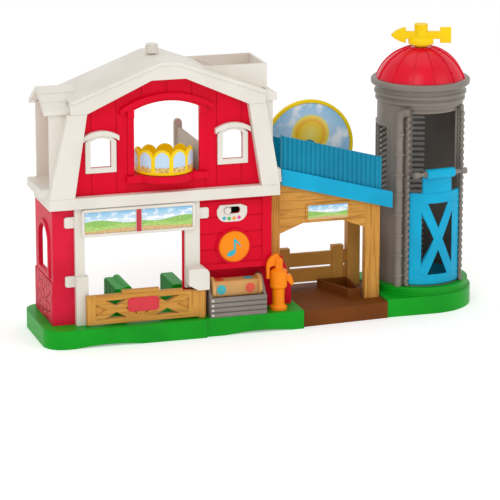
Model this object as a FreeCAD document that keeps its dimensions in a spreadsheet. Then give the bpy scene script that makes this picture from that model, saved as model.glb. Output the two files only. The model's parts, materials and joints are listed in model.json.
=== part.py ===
import FreeCAD, Part
import math
import os
import Sketcher

# Toy barn with a yard, a slide and a silo, in millimetres. While drawing, X = 0 is the
# barn's centreline, Y = 0 the face of its front wall and Z = 0 the ground; every sub-part
# is then set back so that the origin is the middle of the footprint.

SIZES = {
    # base
    "base_left": 116.0, "base_front": 20.0, "base_back": 77.0, "base_height": 17.0,
    "base_wall": 2.4, "base_corner": 18.0, "front_step": 2.5, "step_place": 31.0,
    "yard_left": 123.0, "yard_right": 207.0, "yard_height": 15.0, "yard_front": 13.0,
    "yard_skew": 6.0, "silo_place": 254.0, "silo_depth": 43.0, "pad_radius": 49.0,
    "ring_radius": 46.4, "ring_height": 7.0, "notch_height": 2.2, "notch_length": 62.0,
    "wallow_front": 16.0, "wallow_back": 58.0, "wallow_left": 160.0, "wallow_lean": 16.0,
    "wallow_right": 189.0, "wallow_height": 8.5, "wallow_wall": 2.6,
    # fence
    "fence_back": 68.0, "fence_thick": 4.0, "fence_left": 124.0, "rail_low": 20.0,
    "rail_height": 12.5, "rail_gap": 2.6, "fence_post": 182.0, "fence_post_width": 11.0,
    "fence_top": 53.0, "tall_post_left": 190.0, "tall_post_width": 12.0,
    # lower barn
    "wall": 2.6, "barn_left": 105.0, "barn_depth": 66.0, "eave_under": 130.0,
    "post_left_out": 85.5, "post_left_in": 77.0, "post_front": 4.0, "boss_top": 62.0,
    "boss_grow": 2.6, "strap_length": 9.0, "strap_height": 10.0, "strap_thick": 2.0,
    "strap_upper": 111.0, "side_window_front": 15.0, "side_window_back": 49.0,
    "side_window_low": 62.0, "side_window_spring": 92.0, "casing": 4.0, "casing_proud": 1.6,
    "stone_top": 56.0, "stone_proud": 1.2,
    "post_right_in": 15.5, "post_right_out": 29.0, "knuckle_low": 43.6, "knuckle_top": 63.5,
    "knuckle_reach": 5.6,
    # gate
    "gate_left": 77.6, "gate_low": 18.4, "gate_top": 45.0, "gate_crown": 3.0,
    "gate_crown_half": 17.0, "gate_middle": 28.0, "gate_thick": 5.0, "gate_front": 12.5,
    "barrel_place": 28.5, "barrel_radius": 4.2, "gate_pin_radius": 1.8, "run_fit": 0.05,
    "gate_relief": 17.6, "gate_stile": 8.0, "gate_rail": 5.0, "gate_web": 1.6, "brace": 4.4, "free_gap": 0.4,
    # sign
    "sign_left": 80.2, "sign_right": 24.0, "sign_low": 98.0, "sign_top": 123.0,
    "sign_thick": 4.0, "sign_rim": 2.6, "sign_recess": 0.8, "sign_corner": 4.0,
    # stall dividers
    "stall_left": 43.0, "stall_right": 10.0, "stall_width": 11.0, "stall_front": 18.0,
    "stall_back": 60.0, "stall_top": 41.0, "stall_rib": 1.0, "rail_radius": 4.0,
    # music housing
    "panel_left": 14.0, "box_left": 30.0, "box_right": 97.0, "box_back": 42.0,
    "ledge": 60.0, "set_back": 9.0, "buttress_right": 119.0, "buttress_top": 110.0,
    "buttress_knee": 39.0, "corner_post": 8.5, "plank": 15.0, "groove": 0.7,
    "groove_width": 1.2, "button_place": 61.5, "button_height": 78.0, "button_radius": 14.2,
    "button_collar": 2.2, "button_proud": 3.4, "button_travel": 2.0, "button_flange": 1.6,
    "button_fit": 0.25, "button_catch": 0.75, "button_crown": 1.4, "button_edge": 2.0,
    "stem_radius": 3.0, "switch_place": 60.0, "switch_height": 109.5,
    "switch_half": 14.0, "switch_drop": 8.6, "switch_thick": 1.4, "slot_half": 7.6,
    "slot_radius": 3.2, "slot_rise": 2.0, "knob_radius": 2.9, "knob_proud": 3.4,
    "knob_travel": 9.0, "knob_shoe": 2.0,
    "board_place": 18.0, "board_thick": 1.6, "board_half": 20.0, "board_low": 68.0,
    "board_top": 119.0, "boss_radius": 3.0, "tact_radius": 3.4, "cover_thick": 2.6,
    "speaker_radius": 14.0, "speaker_height": 42.0, "speaker_depth": 8.0,
    "battery_radius": 5.2, "battery_length": 44.5, "battery_height": 90.0,
    "battery_gap": 0.6, "door_thick": 2.0, "screw_radius": 2.6,
    "screw_inset": 6.0, "grille_hole": 1.5,
    # feed corner
    "crate_left": 35.2, "crate_right": 88.0, "crate_front": 17.0, "crate_low_top": 35.0,
    "crate_high_top": 50.0, "crate_shoulder": 10.6, "crate_wall": 2.4, "slat_gap": 1.2, "roller_radius": 10.4,
    "roller_flat": 7.4, "roller_height": 41.0, "roller_depth": 3.6, "roller_cap": 3.0,
    "axle_radius": 2.4, "end_gap": 0.8,
    "pump_place": 102.5, "pump_depth": 5.0, "pump_foot": 8.0, "pump_foot_height": 2.6,
    "pump_column": 5.6, "pump_column_top": 36.0, "pump_barrel": 7.8, "pump_shoulder": 53.0,
    "pump_neck": 4.0, "pump_top": 62.0, "spout_radius": 2.4, "spout_reach": 14.0,
    "spout_height": 46.0, "lever_pivot": 57.0, "lever_thick": 3.2, "lever_reach": 11.5,
    "lever_drop": 14.0, "lever_width": 3.4, "lever_pin": 1.4,
    # upper barn
    "eave_left": 109.0, "eave_right": 103.0, "eave_front": 8.0, "eave_low": 124.0,
    "loft_level": 134.0, "roof_back": 46.0, "dormer_back": 53.0,
    "front_half": 90.0, "knee_half": 78.0, "front_top": 236.0, "flat_half": 15.0,
    "knee_level": 209.0, "loft_half": 30.0, "loft_sill": 150.0, "loft_spring": 209.0,
    "loft_rise": 6.8, "hood": 6.0, "hood_proud": 3.0, "hood_ear": 7.0, "jamb_proud": 1.4,
    "window_place": 60.5, "window_half": 9.4, "window_low": 159.0, "window_spring": 182.5,
    "window_rise": 3.2, "trim": 4.6, "trim_proud": 2.4, "trim_cap": 2.2,
    "shelf_radius": 28.6, "shelf_depth": 11.0, "shelf_thick": 6.0,
    "leg_in_low": 86.0, "leg_in_top": 74.0, "leg_out_low": 97.0, "leg_out_top": 88.0,
    "dormer_out": 106.5, "sill_out": 115.0, "sill_height": 8.0,
    "board_peak": 253.0, "board_flat": 20.0, "board_end": 98.0, "board_knee": 223.0,
    "roof_wall": 2.6, "gable_out": 111.5, "gable_ridge": 229.5, "gable_eave": 212.0,
    "gable_front": 3.0, "hopper_front": 7.0, "hopper_right": 95.0, "hopper_top": 246.0,
    "hopper_wall": 2.4, "knob_ridge_radius": 6.0, "knob_ridge_top": 261.0,
    "knob_ridge_place": 5.0, "knob_ridge_depth": 30.0, "knob_rib": 1.1,
    "chute_back": 22.0, "chute_front": 33.0, "chute_high": 198.0, "chute_low": 186.0,
    "nest_radius": 26.0, "nest_wall": 2.4, "nest_height": 20.5, "nest_valley": 6.8,
    "nest_floor": 2.2, "nest_lift": 0.5, "spindle_radius": 3.0, "spindle_height": 7.0,
    # lean-to and slide
    "frame_front": 11.6, "frame_thick": 8.0, "stand_left": 100.0, "stand_width": 9.0,
    "stand_right": 205.0, "right_width": 14.0, "header_low": 91.0, "bracket_drop": 8.5,
    "bracket_run": 22.0, "slide_left": 110.0, "slide_end": 206.0, "fascia_right": 216.0,
    "fascia_top": 143.5, "fascia_height": 15.0, "slide_fall": 0.272, "fascia_thick": 3.2,
    "guard_height": 30.0, "guard_left": 111.0, "guard_wall": 2.4, "floor_drop": 10.0,
    "slide_back": 62.0, "back_height": 30.0, "corrugation": 4.4, "corrugation_proud": 0.9,
    "disc_place": 153.6, "disc_height": 149.8, "disc_radius": 43.0, "disc_thick": 2.6,
    "slide_tongue": 8.0, "disc_rim": 2.8, "disc_rim_proud": 1.2, "disc_pin": 2.4, "disc_ear": 6.0,
    "disc_head": 4.4,
    # silo
    "silo_radius": 39.5, "silo_wall": 2.6, "silo_top": 203.0, "rim_top": 213.0,
    "rim_radius": 45.6, "band_proud": 1.4, "band_height": 4.0, "mouth_half": 26.2,
    "mouth_low": 24.5, "mouth_top": 190.0, "silo_turn": 7.0, "hatch_half": 14.5,
    "hatch_low": 104.0, "hatch_top": 171.0, "jamb_width": 3.0, "jamb_front": 31.0,
    "rack_thick": 2.0, "rack_pitch": 6.0, "tooth": 1.6, "pipe_radius": 3.6, "pipe_turn": 225.0,
    "pipe_top": 181.0, "clamp_pitch": 19.0, "clamp_height": 2.4, "clamp_proud": 0.9,
    "dome_radius": 40.7, "dome_top": 241.0, "dome_wall": 2.4,
    "dome_rib": 1.0, "dome_rib_turn": 2.6, "dome_sphere": 43.1,
    "vane_turn": 163.0, "vane_hub": 11.0, "vane_hub_height": 10.0, "vane_thick": 5.0,
    "vane_reach": 28.0, "vane_head": 13.5, "vane_half": 6.9, "vane_shaft": 3.2,
    "vane_tail": 10.0, "vane_post": 5.6, "vane_top": 262.5, "vane_pin": 2.0, "vane_pin_length": 9.0,
    # lift
    "lift_half": 25.4, "lift_low": 25.2, "lift_top": 112.0, "lift_frame": 6.0, "lift_brace": 6.0,
    "lift_neck": 14.5, "lift_neck_top": 131.0, "sleeve_radius": 4.4, "sleeve_half": 14.0,
    "sleeve_height": 131.0, "sleeve_place": 42.0, "rod_radius": 1.9, "rod_half": 26.7,
    "rod_end": 3.0, "rod_end_length": 5.0, "platform_radius": 34.5, "platform_thick": 2.4,
    "lift_gap": 0.4,
    "overrun": 2.0,
}

STALL_RIBS = 8
NEST_LOBES = 8
DOME_RIBS = 12
KNOB_RIBS = 6
GRILLE_RINGS = ((1, 0.0), (6, 0.36), (10, 0.68))


class Size:
    """A length, known both as a number and as the expression that gives it."""

    def __init__(self, value, text):
        self.value = float(value)
        self.text = text

    def __add__(self, other):
        other = as_size(other)
        return Size(self.value + other.value, f"({self.text} + {other.text})")

    def __sub__(self, other):
        other = as_size(other)
        return Size(self.value - other.value, f"({self.text} - {other.text})")

    def __mul__(self, share):
        share = as_size(share)
        return Size(self.value * share.value, f"({self.text} * {share.text})")

    def __truediv__(self, share):
        share = as_size(share)
        return Size(self.value / share.value, f"({self.text} / {share.text})")

    def __neg__(self):
        return Size(-self.value, f"(0 - {self.text})")

    def __radd__(self, other):
        return as_size(other) + self

    def __rsub__(self, other):
        return as_size(other) - self

    __rmul__ = __mul__


def as_size(value):
    return value if isinstance(value, Size) else Size(value, repr(float(value)))


class Named:
    """The driving dimensions by name."""


doc = FreeCAD.newDocument("toy_barn")
sheet = doc.addObject("Spreadsheet::Sheet", "Dim")
d = Named()
for row, (name, value) in enumerate(SIZES.items(), start=1):
    sheet.set(f"A{row}", name)
    sheet.set(f"B{row}", str(value))
    sheet.setAlias(f"B{row}", name)
    setattr(d, name, Size(value, f"Dim.{name}"))
doc.recompute()

sub_parts = []
middle_x = (d.silo_place + d.pad_radius - d.base_left) / 2
middle_y = (d.silo_depth + d.pad_radius - d.base_front) / 2


def piece(label, x=0.0, y=0.0, z=0.0, turn=None):
    """A new body whose own origin is at x, y, z of the barn, turned about Z."""
    body = doc.addObject("PartDesign::Body", label)
    body.Label = label
    if turn is not None:
        body.Placement.Rotation = FreeCAD.Rotation(FreeCAD.Vector(0, 0, 1), 0)
        body.setExpression("Placement.Rotation.Angle", as_size(turn).text)
    body.setExpression("Placement.Base.x", (as_size(x) - middle_x).text)
    body.setExpression("Placement.Base.y", (as_size(y) - middle_y).text)
    body.setExpression("Placement.Base.z", as_size(z).text)
    sub_parts.append(body)
    return body


def edge_between(start, end, bend):
    """A straight edge, or an arc of radius bend: counter-clockwise if positive."""
    p = FreeCAD.Vector(as_size(start[0]).value, as_size(start[1]).value, 0)
    q = FreeCAD.Vector(as_size(end[0]).value, as_size(end[1]).value, 0)
    if bend is None:
        return Part.LineSegment(p, q), (1, 2)
    radius = as_size(bend).value
    first, last, ends = (p, q, (1, 2)) if radius > 0 else (q, p, (2, 1))
    chord = last - first
    left = FreeCAD.Vector(-chord.y, chord.x, 0).normalize()
    rise = math.sqrt(max(radius ** 2 - chord.Length ** 2 / 4, 0))
    centre = (first + last) * 0.5 + left * rise
    begin = math.atan2(first.y - centre.y, first.x - centre.x)
    finish = math.atan2(last.y - centre.y, last.x - centre.x)
    circle = Part.Circle(centre, FreeCAD.Vector(0, 0, 1), abs(radius))
    return Part.ArcOfCircle(circle, begin, finish), ends


def draw_outline(sketch, corners):
    """A closed outline. A corner is (x, y), or (x, y, bend) where an arc leaves it."""
    first = sketch.GeometryCount
    count = len(corners)
    made = []
    for index, corner in enumerate(corners):
        bend = corner[2] if len(corner) == 3 else None
        made.append(edge_between(corner, corners[(index + 1) % count], bend))
    sketch.addGeometry([edge for edge, ends in made], False)
    rules = []
    for index, corner in enumerate(corners):
        after = (index + 1) % count
        start, end = made[index][1]
        here = first + index
        x, y = as_size(corner[0]), as_size(corner[1])
        joint = Sketcher.Constraint("Coincident", here, end, first + after, made[after][1][0])
        rules.append((joint, None))
        rules.append((Sketcher.Constraint("DistanceX", -1, 1, here, start, x.value), x.text))
        rules.append((Sketcher.Constraint("DistanceY", -1, 1, here, start, y.value), y.text))
        if len(corner) == 3:
            bend = corner[2] if corner[2].value > 0 else -corner[2]
            rules.append((Sketcher.Constraint("Radius", here, bend.value), bend.text))
    bind(sketch, rules)


def draw_circle(sketch, x, y, radius):
    x, y, radius = as_size(x), as_size(y), as_size(radius)
    centre = FreeCAD.Vector(x.value, y.value, 0)
    here = sketch.addGeometry(Part.Circle(centre, FreeCAD.Vector(0, 0, 1), radius.value), False)
    bind(sketch, [
        (Sketcher.Constraint("DistanceX", -1, 1, here, 3, x.value), x.text),
        (Sketcher.Constraint("DistanceY", -1, 1, here, 3, y.value), y.text),
        (Sketcher.Constraint("Radius", here, radius.value), radius.text),
    ])


def bind(sketch, rules):
    """Adds constraints, each tied to its expression."""
    first = sketch.ConstraintCount
    sketch.addConstraint([rule for rule, text in rules])
    for index, (rule, text) in enumerate(rules):
        if text is not None:
            sketch.setExpression(f"Constraints[{first + index}]", text)


def draw(body, plane, at, loops, turn=None):
    """A sketch on one of the body's planes, moved to the place at along its axis.

    A loop is a list of corners, or a tuple (x, y, radius) for a circle.
    """
    sketch = body.newObject("Sketcher::SketchObject", "sketch")
    support = [item for item in body.Origin.OriginFeatures if item.Role == plane + "_Plane"][0]
    sketch.AttachmentSupport = [(support, "")]
    sketch.MapMode = "FlatFace"
    offset = -as_size(at) if plane == "XZ" else as_size(at)
    if turn is not None:
        sketch.AttachmentOffset.Rotation = FreeCAD.Rotation(FreeCAD.Vector(0, 1, 0), 0)
        sketch.setExpression("AttachmentOffset.Rotation.Angle", turn.text)
    sketch.setExpression("AttachmentOffset.Base.z", offset.text)
    for loop in loops:
        if isinstance(loop, tuple):
            draw_circle(sketch, *loop)
        else:
            draw_outline(sketch, loop)
    return sketch


def pad(body, plane, low, thick, *loops):
    """Adds the loops' area from low to low + thick along the plane's axis."""
    at = as_size(low) + thick if plane == "XZ" else as_size(low)
    sketch = draw(body, plane, at, loops)
    feature = body.newObject("PartDesign::Pad", "pad")
    feature.Profile = sketch
    feature.setExpression("Length", as_size(thick).text)
    return feature


def cut(body, plane, low, thick, *loops, turn=None):
    """Takes the loops' area away from low to low + thick along the plane's axis."""
    at = as_size(low) if plane == "XZ" else as_size(low) + thick
    sketch = draw(body, plane, at, loops, turn)
    feature = body.newObject("PartDesign::Pocket", "cut")
    feature.Profile = sketch
    feature.setExpression("Length", as_size(thick).text)
    return feature


def revolve(body, plane, axis, *loops, angle=None):
    """Turns the loops about the sketch's own axis, wholly or through angle, centred."""
    sketch = draw(body, plane, 0.0, loops)
    feature = body.newObject("PartDesign::Revolution", "turn")
    feature.Profile = sketch
    feature.ReferenceAxis = (sketch, [axis])
    if angle is None:
        feature.Angle = 360.0
    else:
        feature.Midplane = True
        feature.setExpression("Angle", as_size(angle).text)
    return feature


def polar(body, feature, count):
    """Repeats a feature round the body's Z axis."""
    pattern = body.newObject("PartDesign::PolarPattern", "round")
    pattern.Originals = [feature]
    axis = [item for item in body.Origin.OriginFeatures if item.Role == "Z_Axis"][0]
    pattern.Axis = (axis, [""])
    pattern.Angle = 360.0
    pattern.Occurrences = count
    body.Tip = pattern
    return pattern


def box(x0, y0, x1, y1):
    return [(x0, y0), (x1, y0), (x1, y1), (x0, y1)]


def rounded(x0, y0, x1, y1, r):
    """A rectangle with round corners."""
    return [(x0 + r, y0), (x1 - r, y0, r), (x1, y0 + r), (x1, y1 - r, r),
            (x1 - r, y1), (x0 + r, y1, r), (x0, y1 - r), (x0, y0 + r, r)]


def arched(x0, x1, low, spring, rise):
    """An opening with upright sides and a round head of the given rise."""
    half = (as_size(x1) - x0) / 2
    bend = (half * half + rise * rise) / (rise * 2)
    return [(x0, low), (x1, low), (x1, spring, bend), (x0, spring)]


def root_of(number):
    return Size(math.sqrt(number.value), f"sqrt({number.text})")


def leg_of(long, short):
    """The other short side of a right-angled triangle."""
    return root_of(long * long - short * short)


def across(corners, side):
    """The same straight-sided outline, on the right (side 1) or the left (side -1)."""
    return [(as_size(x) * side, y) for x, y in corners]


barrel_line = d.gate_thick / 2 - d.gate_front
ring_level = d.base_height + d.ring_height


def slide_line(x):
    """Level of the fascia's top edge at x."""
    return d.fascia_top - (as_size(x) - d.slide_left) * d.slide_fall


def slide_band(x0, x1, low, high):
    """A sloping band along the slide, from low to high above the fascia's top edge."""
    return [(x0, slide_line(x0) + low), (x1, slide_line(x1) + low),
            (x1, slide_line(x1) + high), (x0, slide_line(x0) + high)]


def slide_underside(x):
    return slide_line(x) - d.floor_drop - d.guard_wall


def roof_level(x):
    """Level of the roof's right slope at x."""
    fall = (d.board_peak - d.board_knee) / (d.board_end - d.board_flat)
    return d.board_peak - (x - d.board_flat) * fall


# Base


def make_base_tray():
    """Green tray of the barn: a shell open below, with low arches along its front edge."""
    body = piece("base_tray")
    front = -d.base_front
    step = front + d.front_step

    def outline(inset):
        r = d.base_corner - inset
        left, right = inset - d.base_left, d.yard_left - inset
        back = d.base_back - inset
        return [(left + r, front + inset), (d.step_place - inset, front + inset),
                (d.step_place - inset, step + inset), (right, step + inset), (right, back),
                (left + r, back, r), (left, back - r), (left, front + inset + r, r)]

    pad(body, "XY", 0.0, d.base_height, outline(as_size(0.0)))
    cut(body, "XY", 0.0, d.base_height - d.base_wall, outline(d.base_wall))
    rise = d.notch_height
    bend = (d.notch_length * d.notch_length / 4 + rise * rise) / (rise * 2)
    for left in (-(d.base_left - d.base_corner * 1.4), d.step_place + d.base_corner):
        right = left + d.notch_length
        cut(body, "XZ", front - d.overrun, d.base_wall * 3 + d.overrun,
            [(left, 0.0), (right, 0.0, bend)])
    cut(body, "XY", 0.0, d.base_height + d.overrun,
        (d.barrel_place, barrel_line, d.gate_pin_radius + d.run_fit))


def make_yard_floor():
    """Brown yard floor with the raised rim of a wallow."""
    body = piece("yard_floor")

    def outline(inset):
        return [(d.yard_left + inset, inset - d.yard_front),
                (d.yard_right - inset, d.yard_skew - d.yard_front + inset),
                (d.yard_right - inset, d.base_back - inset),
                (d.yard_left + inset, d.base_back - inset)]

    def wallow(inset):
        low, high = d.wallow_front + inset, d.wallow_back - inset
        return [(d.wallow_left + d.wallow_lean + inset, low), (d.wallow_right - inset, low),
                (d.wallow_right - inset, high), (d.wallow_left + inset, high)]

    pad(body, "XY", 0.0, d.yard_height, outline(as_size(0.0)))
    cut(body, "XY", 0.0, d.yard_height - d.base_wall, outline(d.base_wall))
    pad(body, "XY", d.yard_height, d.wallow_height, wallow(as_size(0.0)), wallow(d.wallow_wall))


def make_silo_pad():
    """Green pad under the silo, with a raised ring that the silo stands in."""
    body = piece("silo_pad", d.silo_place, d.silo_depth)
    flat = d.silo_place - d.yard_right

    def outline(inset):
        r = d.pad_radius - inset
        left = inset - flat
        return [(left, -r), (0.0, -r, r), (r, 0.0, r), (0.0, r), (left, r)]

    pad(body, "XY", 0.0, d.base_height, outline(as_size(0.0)))
    cut(body, "XY", 0.0, d.base_height - d.base_wall, outline(d.base_wall))
    pad(body, "XY", d.base_height, d.ring_height, (0.0, 0.0, d.ring_radius),
        (0.0, 0.0, d.silo_radius + d.free_gap))


def make_fence():
    """Rail fence along the back of the yard, with the tall post that bears the slide."""
    body = piece("rail_fence")
    back = d.fence_back
    front = back - d.fence_thick
    right = d.tall_post_left + d.tall_post_width
    pad(body, "XZ", front, d.fence_thick,
        box(d.fence_left, d.rail_low, right, d.rail_low + d.rail_height))
    high = d.rail_low + d.rail_height + d.rail_gap
    pad(body, "XZ", front, d.fence_thick, box(d.fence_left, high, right, high + d.rail_height))
    for left in (d.fence_left, d.fence_post - d.fence_post_width / 2):
        pad(body, "XZ", front - d.groove * 2, d.fence_thick + d.groove * 4,
            box(left, d.yard_height, left + d.fence_post_width, d.fence_top))
    post_front = d.slide_back - d.fence_thick
    pad(body, "XZ", post_front, back - post_front,
        [(d.tall_post_left, d.yard_height), (right, d.yard_height),
         (right, slide_underside(right)), (d.tall_post_left, slide_underside(d.tall_post_left))])


# Lower barn


def make_left_wall():
    """Red side wall with an arch-top window, cased outside, and a strip of the front."""
    body = piece("left_wall")
    left = -d.barn_left
    inner = left + d.wall
    z0 = d.base_height
    height = d.eave_under - z0
    pad(body, "XY", z0, height, [(left, 0.0), (-d.post_left_out, 0.0), (-d.post_left_out, d.wall),
                                 (inner, d.wall), (inner, d.barn_depth), (left, d.barn_depth)])
    half = (d.side_window_back - d.side_window_front) / 2
    pad(body, "YZ", left - d.casing_proud, d.casing_proud,
        arched(d.side_window_front - d.casing, d.side_window_back + d.casing,
               d.side_window_low - d.casing, d.side_window_spring, half * 0.7 + d.casing))
    pad(body, "YZ", left - d.stone_proud, d.stone_proud,
        box(0.0, z0, d.barn_depth, d.stone_top))
    cut(body, "YZ", left - d.casing_proud - d.overrun, d.wall + d.casing_proud + d.overrun * 2,
        arched(d.side_window_front, d.side_window_back, d.side_window_low,
               d.side_window_spring, half * 0.7))


def make_door_posts():
    """White posts each side of the doorway, with strap tabs; the right one holds the gate."""
    z0 = d.base_height
    left = piece("door_post_left")
    depth = d.post_front + d.wall
    pad(left, "XZ", -d.post_front, depth, box(-d.post_left_out, z0, -d.post_left_in, d.eave_under))
    pad(left, "XZ", -d.post_front - d.strap_thick, depth,
        box(-d.post_left_out, z0, d.boss_grow - d.post_left_in, d.boss_top))
    for level in (d.strap_upper, d.boss_top - d.strap_height / 2):
        pad(left, "XZ", -d.strap_thick, d.strap_thick,
            rounded(-d.post_left_out - d.strap_length, level - d.strap_height / 2,
                    -d.post_left_in - d.boss_grow, level + d.strap_height / 2, d.strap_thick))
    right = piece("door_post_right")
    pad(right, "XZ", -d.post_front, d.post_front,
        box(d.post_right_in, d.knuckle_low, d.post_right_out, d.eave_under))
    reach = d.post_right_out + d.knuckle_reach
    pad(right, "XZ", barrel_line - d.barrel_radius - d.strap_thick,
        -barrel_line + d.barrel_radius + d.strap_thick,
        [(d.post_right_in, d.knuckle_low + d.strap_height / 2),
         (d.barrel_place - d.barrel_radius, d.knuckle_low),
         (reach, d.knuckle_low), (reach, d.knuckle_top - d.knuckle_reach, d.knuckle_reach),
         (d.post_right_out, d.knuckle_top), (d.post_right_in, d.knuckle_top)])
    pad(right, "XZ", -d.strap_thick, d.strap_thick,
        rounded(d.post_right_out - d.strap_length / 2, d.strap_upper - d.strap_height / 2,
                d.post_right_out + d.strap_length, d.strap_upper + d.strap_height / 2,
                d.strap_thick))
    cut(right, "XY", d.knuckle_low, d.strap_height,
        (d.barrel_place, barrel_line, d.gate_pin_radius + d.run_fit))


def make_sign():
    """White signboard over the doorway with two shallow picture recesses."""
    body = piece("sign_board")
    back = -d.post_front
    pad(body, "XZ", back - d.sign_thick, d.sign_thick,
        rounded(-d.sign_left, d.sign_low, d.sign_right, d.sign_top, d.sign_corner))
    centre = (d.sign_right - d.sign_left) / 2
    low, high = d.sign_low + d.sign_rim, d.sign_top - d.sign_rim
    for x0, x1 in ((d.sign_rim - d.sign_left, centre - d.sign_rim),
                   (centre + d.sign_rim, d.sign_right - d.sign_rim)):
        cut(body, "XZ", back - d.sign_thick, d.sign_recess, box(x0, low, x1, high))


def make_gate():
    """Golden gate: two crossed panels between stiles, hung on a barrel at its right end."""
    body = piece("gate")
    front = -d.gate_front
    left, right = -d.gate_left, d.barrel_place - d.barrel_radius * 0.4
    centre = -d.gate_middle
    c0, c1 = centre - d.gate_crown_half, centre + d.gate_crown_half
    top = d.gate_top + d.gate_crown
    relief = d.knuckle_low - d.free_gap
    relief_left = d.barrel_place - d.gate_relief
    pad(body, "XZ", front, d.gate_thick,
        [(left, d.gate_low), (right, d.gate_low), (right, relief), (relief_left, relief),
         (relief_left, d.gate_top), (c1, d.gate_top),
         (c1, top), (c0, top), (c0, d.gate_top), (left, d.gate_top)])
    low, high = d.gate_low + d.gate_rail, d.gate_top - d.gate_rail
    panels = ((left + d.gate_stile, centre - d.gate_stile / 2),
              (centre + d.gate_stile / 2, d.barrel_place - d.barrel_radius - d.gate_stile))
    for x0, x1 in panels:
        mx, mz = (x0 + x1) / 2, (low + high) / 2
        bx, bz = d.brace * 2, d.brace * 0.62
        holes = [
            [(x0 + bx, low), (x1 - bx, low), (mx, mz - bz)],
            [(x0 + bx, high), (mx, mz + bz), (x1 - bx, high)],
            [(x0, low + bz), (mx - bx, mz), (x0, high - bz)],
            [(x1, low + bz), (x1, high - bz), (mx + bx, mz)],
        ]
        cut(body, "XZ", front, d.gate_thick / 2 - d.gate_web / 2, *holes)
        cut(body, "XZ", front + d.gate_thick / 2 + d.gate_web / 2, d.gate_thick, *holes)
        inner = d.brace * 0.5
        small = [
            [(mx - bx, low), (mx + bx, low), (mx, mz - bz)],
            [(mx - bx, high), (mx, mz + bz), (mx + bx, high)],
        ]
        cut(body, "XZ", front - inner, d.gate_thick + d.brace, *small)
    barrel_low = d.base_height + d.free_gap
    pad(body, "XY", barrel_low, d.knuckle_low - d.free_gap - barrel_low,
        (d.barrel_place, barrel_line, d.barrel_radius))
    cut(body, "XY", d.base_height, d.knuckle_top - d.base_height,
        (d.barrel_place, barrel_line, d.gate_pin_radius + d.run_fit))
    pin = piece("gate_pin", d.barrel_place, barrel_line)
    pad(pin, "XY", d.base_height - d.base_wall, d.knuckle_low + d.strap_height - d.base_height
        + d.base_wall, (0.0, 0.0, d.gate_pin_radius))


def make_stalls():
    """Two low green stall dividers with upright ribs; the left one carries a round rail."""
    for label, left in (("stall_divider_left", -d.stall_left), ("stall_divider_right", d.stall_right)):
        body = piece(label)
        z0 = d.base_height
        right = left + d.stall_width
        pad(body, "XY", z0, d.stall_top - z0, box(left, d.stall_front, right, d.stall_back))
        pitch = (d.stall_back - d.stall_front) / STALL_RIBS
        ribs = []
        for index in range(STALL_RIBS):
            y0 = d.stall_front + pitch * (index + 0.25)
            ribs.append(box(left - d.stall_rib, y0, left, y0 + pitch / 2))
        pad(body, "XY", z0, d.stall_top - z0 - d.stall_rib, *ribs)
        if label == "stall_divider_left":
            pad(body, "XZ", d.stall_front - d.stall_rib, d.stall_back - d.stall_front,
                (right, d.stall_top - d.rail_radius * 0.4, d.rail_radius))


# Music housing


def make_music_housing():
    """Red housing: planked panel over a ledge, set back below it, with a sloping buttress."""
    body = piece("music_housing")
    z0, top = d.base_height, d.eave_under
    left, right, back = d.box_left, d.box_right, d.box_back
    pad(body, "XZ", 0.0, back, box(left, d.ledge, right, top))
    pad(body, "XZ", d.set_back, back - d.set_back, box(left, z0, right, d.ledge))
    pad(body, "XZ", 0.0, d.wall, box(d.panel_left, z0, left, top))
    pad(body, "XZ", d.set_back, d.wall,
        [(right, z0), (d.buttress_right, z0), (d.buttress_right, d.buttress_knee),
         (d.buttress_top, d.ledge + d.wall), (right, d.ledge + d.wall)])
    pad(body, "XZ", 0.0, d.set_back, box(left, d.ledge - d.wall, right, d.ledge + d.wall))
    lip = d.post_right_out + d.knuckle_reach + d.free_gap
    pad(body, "XZ", -d.strap_thick, d.strap_thick, box(lip, d.ledge - d.wall, right, d.ledge + d.wall))
    cut(body, "XZ", d.wall, back, box(left + d.wall, d.ledge + d.wall, right - d.wall, top - d.wall))
    cut(body, "XZ", d.set_back + d.wall, back,
        box(left + d.wall, z0 + d.wall, right - d.wall, d.ledge + d.wall + d.overrun))
    pad(body, "XZ", -d.jamb_proud, d.jamb_proud,
        box(right - d.corner_post, d.ledge, right, top - d.wall))
    grooves = []
    level = d.ledge + d.plank
    while level.value < top.value:
        grooves.append(box(left, level, right - d.corner_post, level + d.groove_width))
        level = level + d.plank
    cut(body, "XZ", 0.0, d.groove, *grooves)
    pad(body, "XZ", -d.button_collar, d.button_collar + d.groove,
        (d.button_place, d.button_height, d.button_radius + d.button_collar))
    cut(body, "XZ", -d.button_collar - d.overrun, d.button_collar + d.wall + d.overrun,
        (d.button_place, d.button_height, d.button_radius + d.button_fit))
    slot = d.slot_radius
    cut(body, "XZ", -d.overrun, d.wall + d.overrun,
        rounded(d.switch_place - d.slot_half, d.switch_height + d.slot_rise - slot,
                d.switch_place + d.slot_half, d.switch_height + d.slot_rise + slot, slot * 0.9))
    for x, z in board_corners():
        pad(body, "XZ", d.wall, d.board_place - d.wall, (x, z, d.boss_radius))


def board_corners():
    """Places of the four bosses that carry the circuit board."""
    inset = d.boss_radius
    for x in (d.button_place - d.board_half + inset, d.button_place + d.board_half - inset):
        for z in (d.board_low - inset, d.board_top - inset):
            yield x, z


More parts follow.
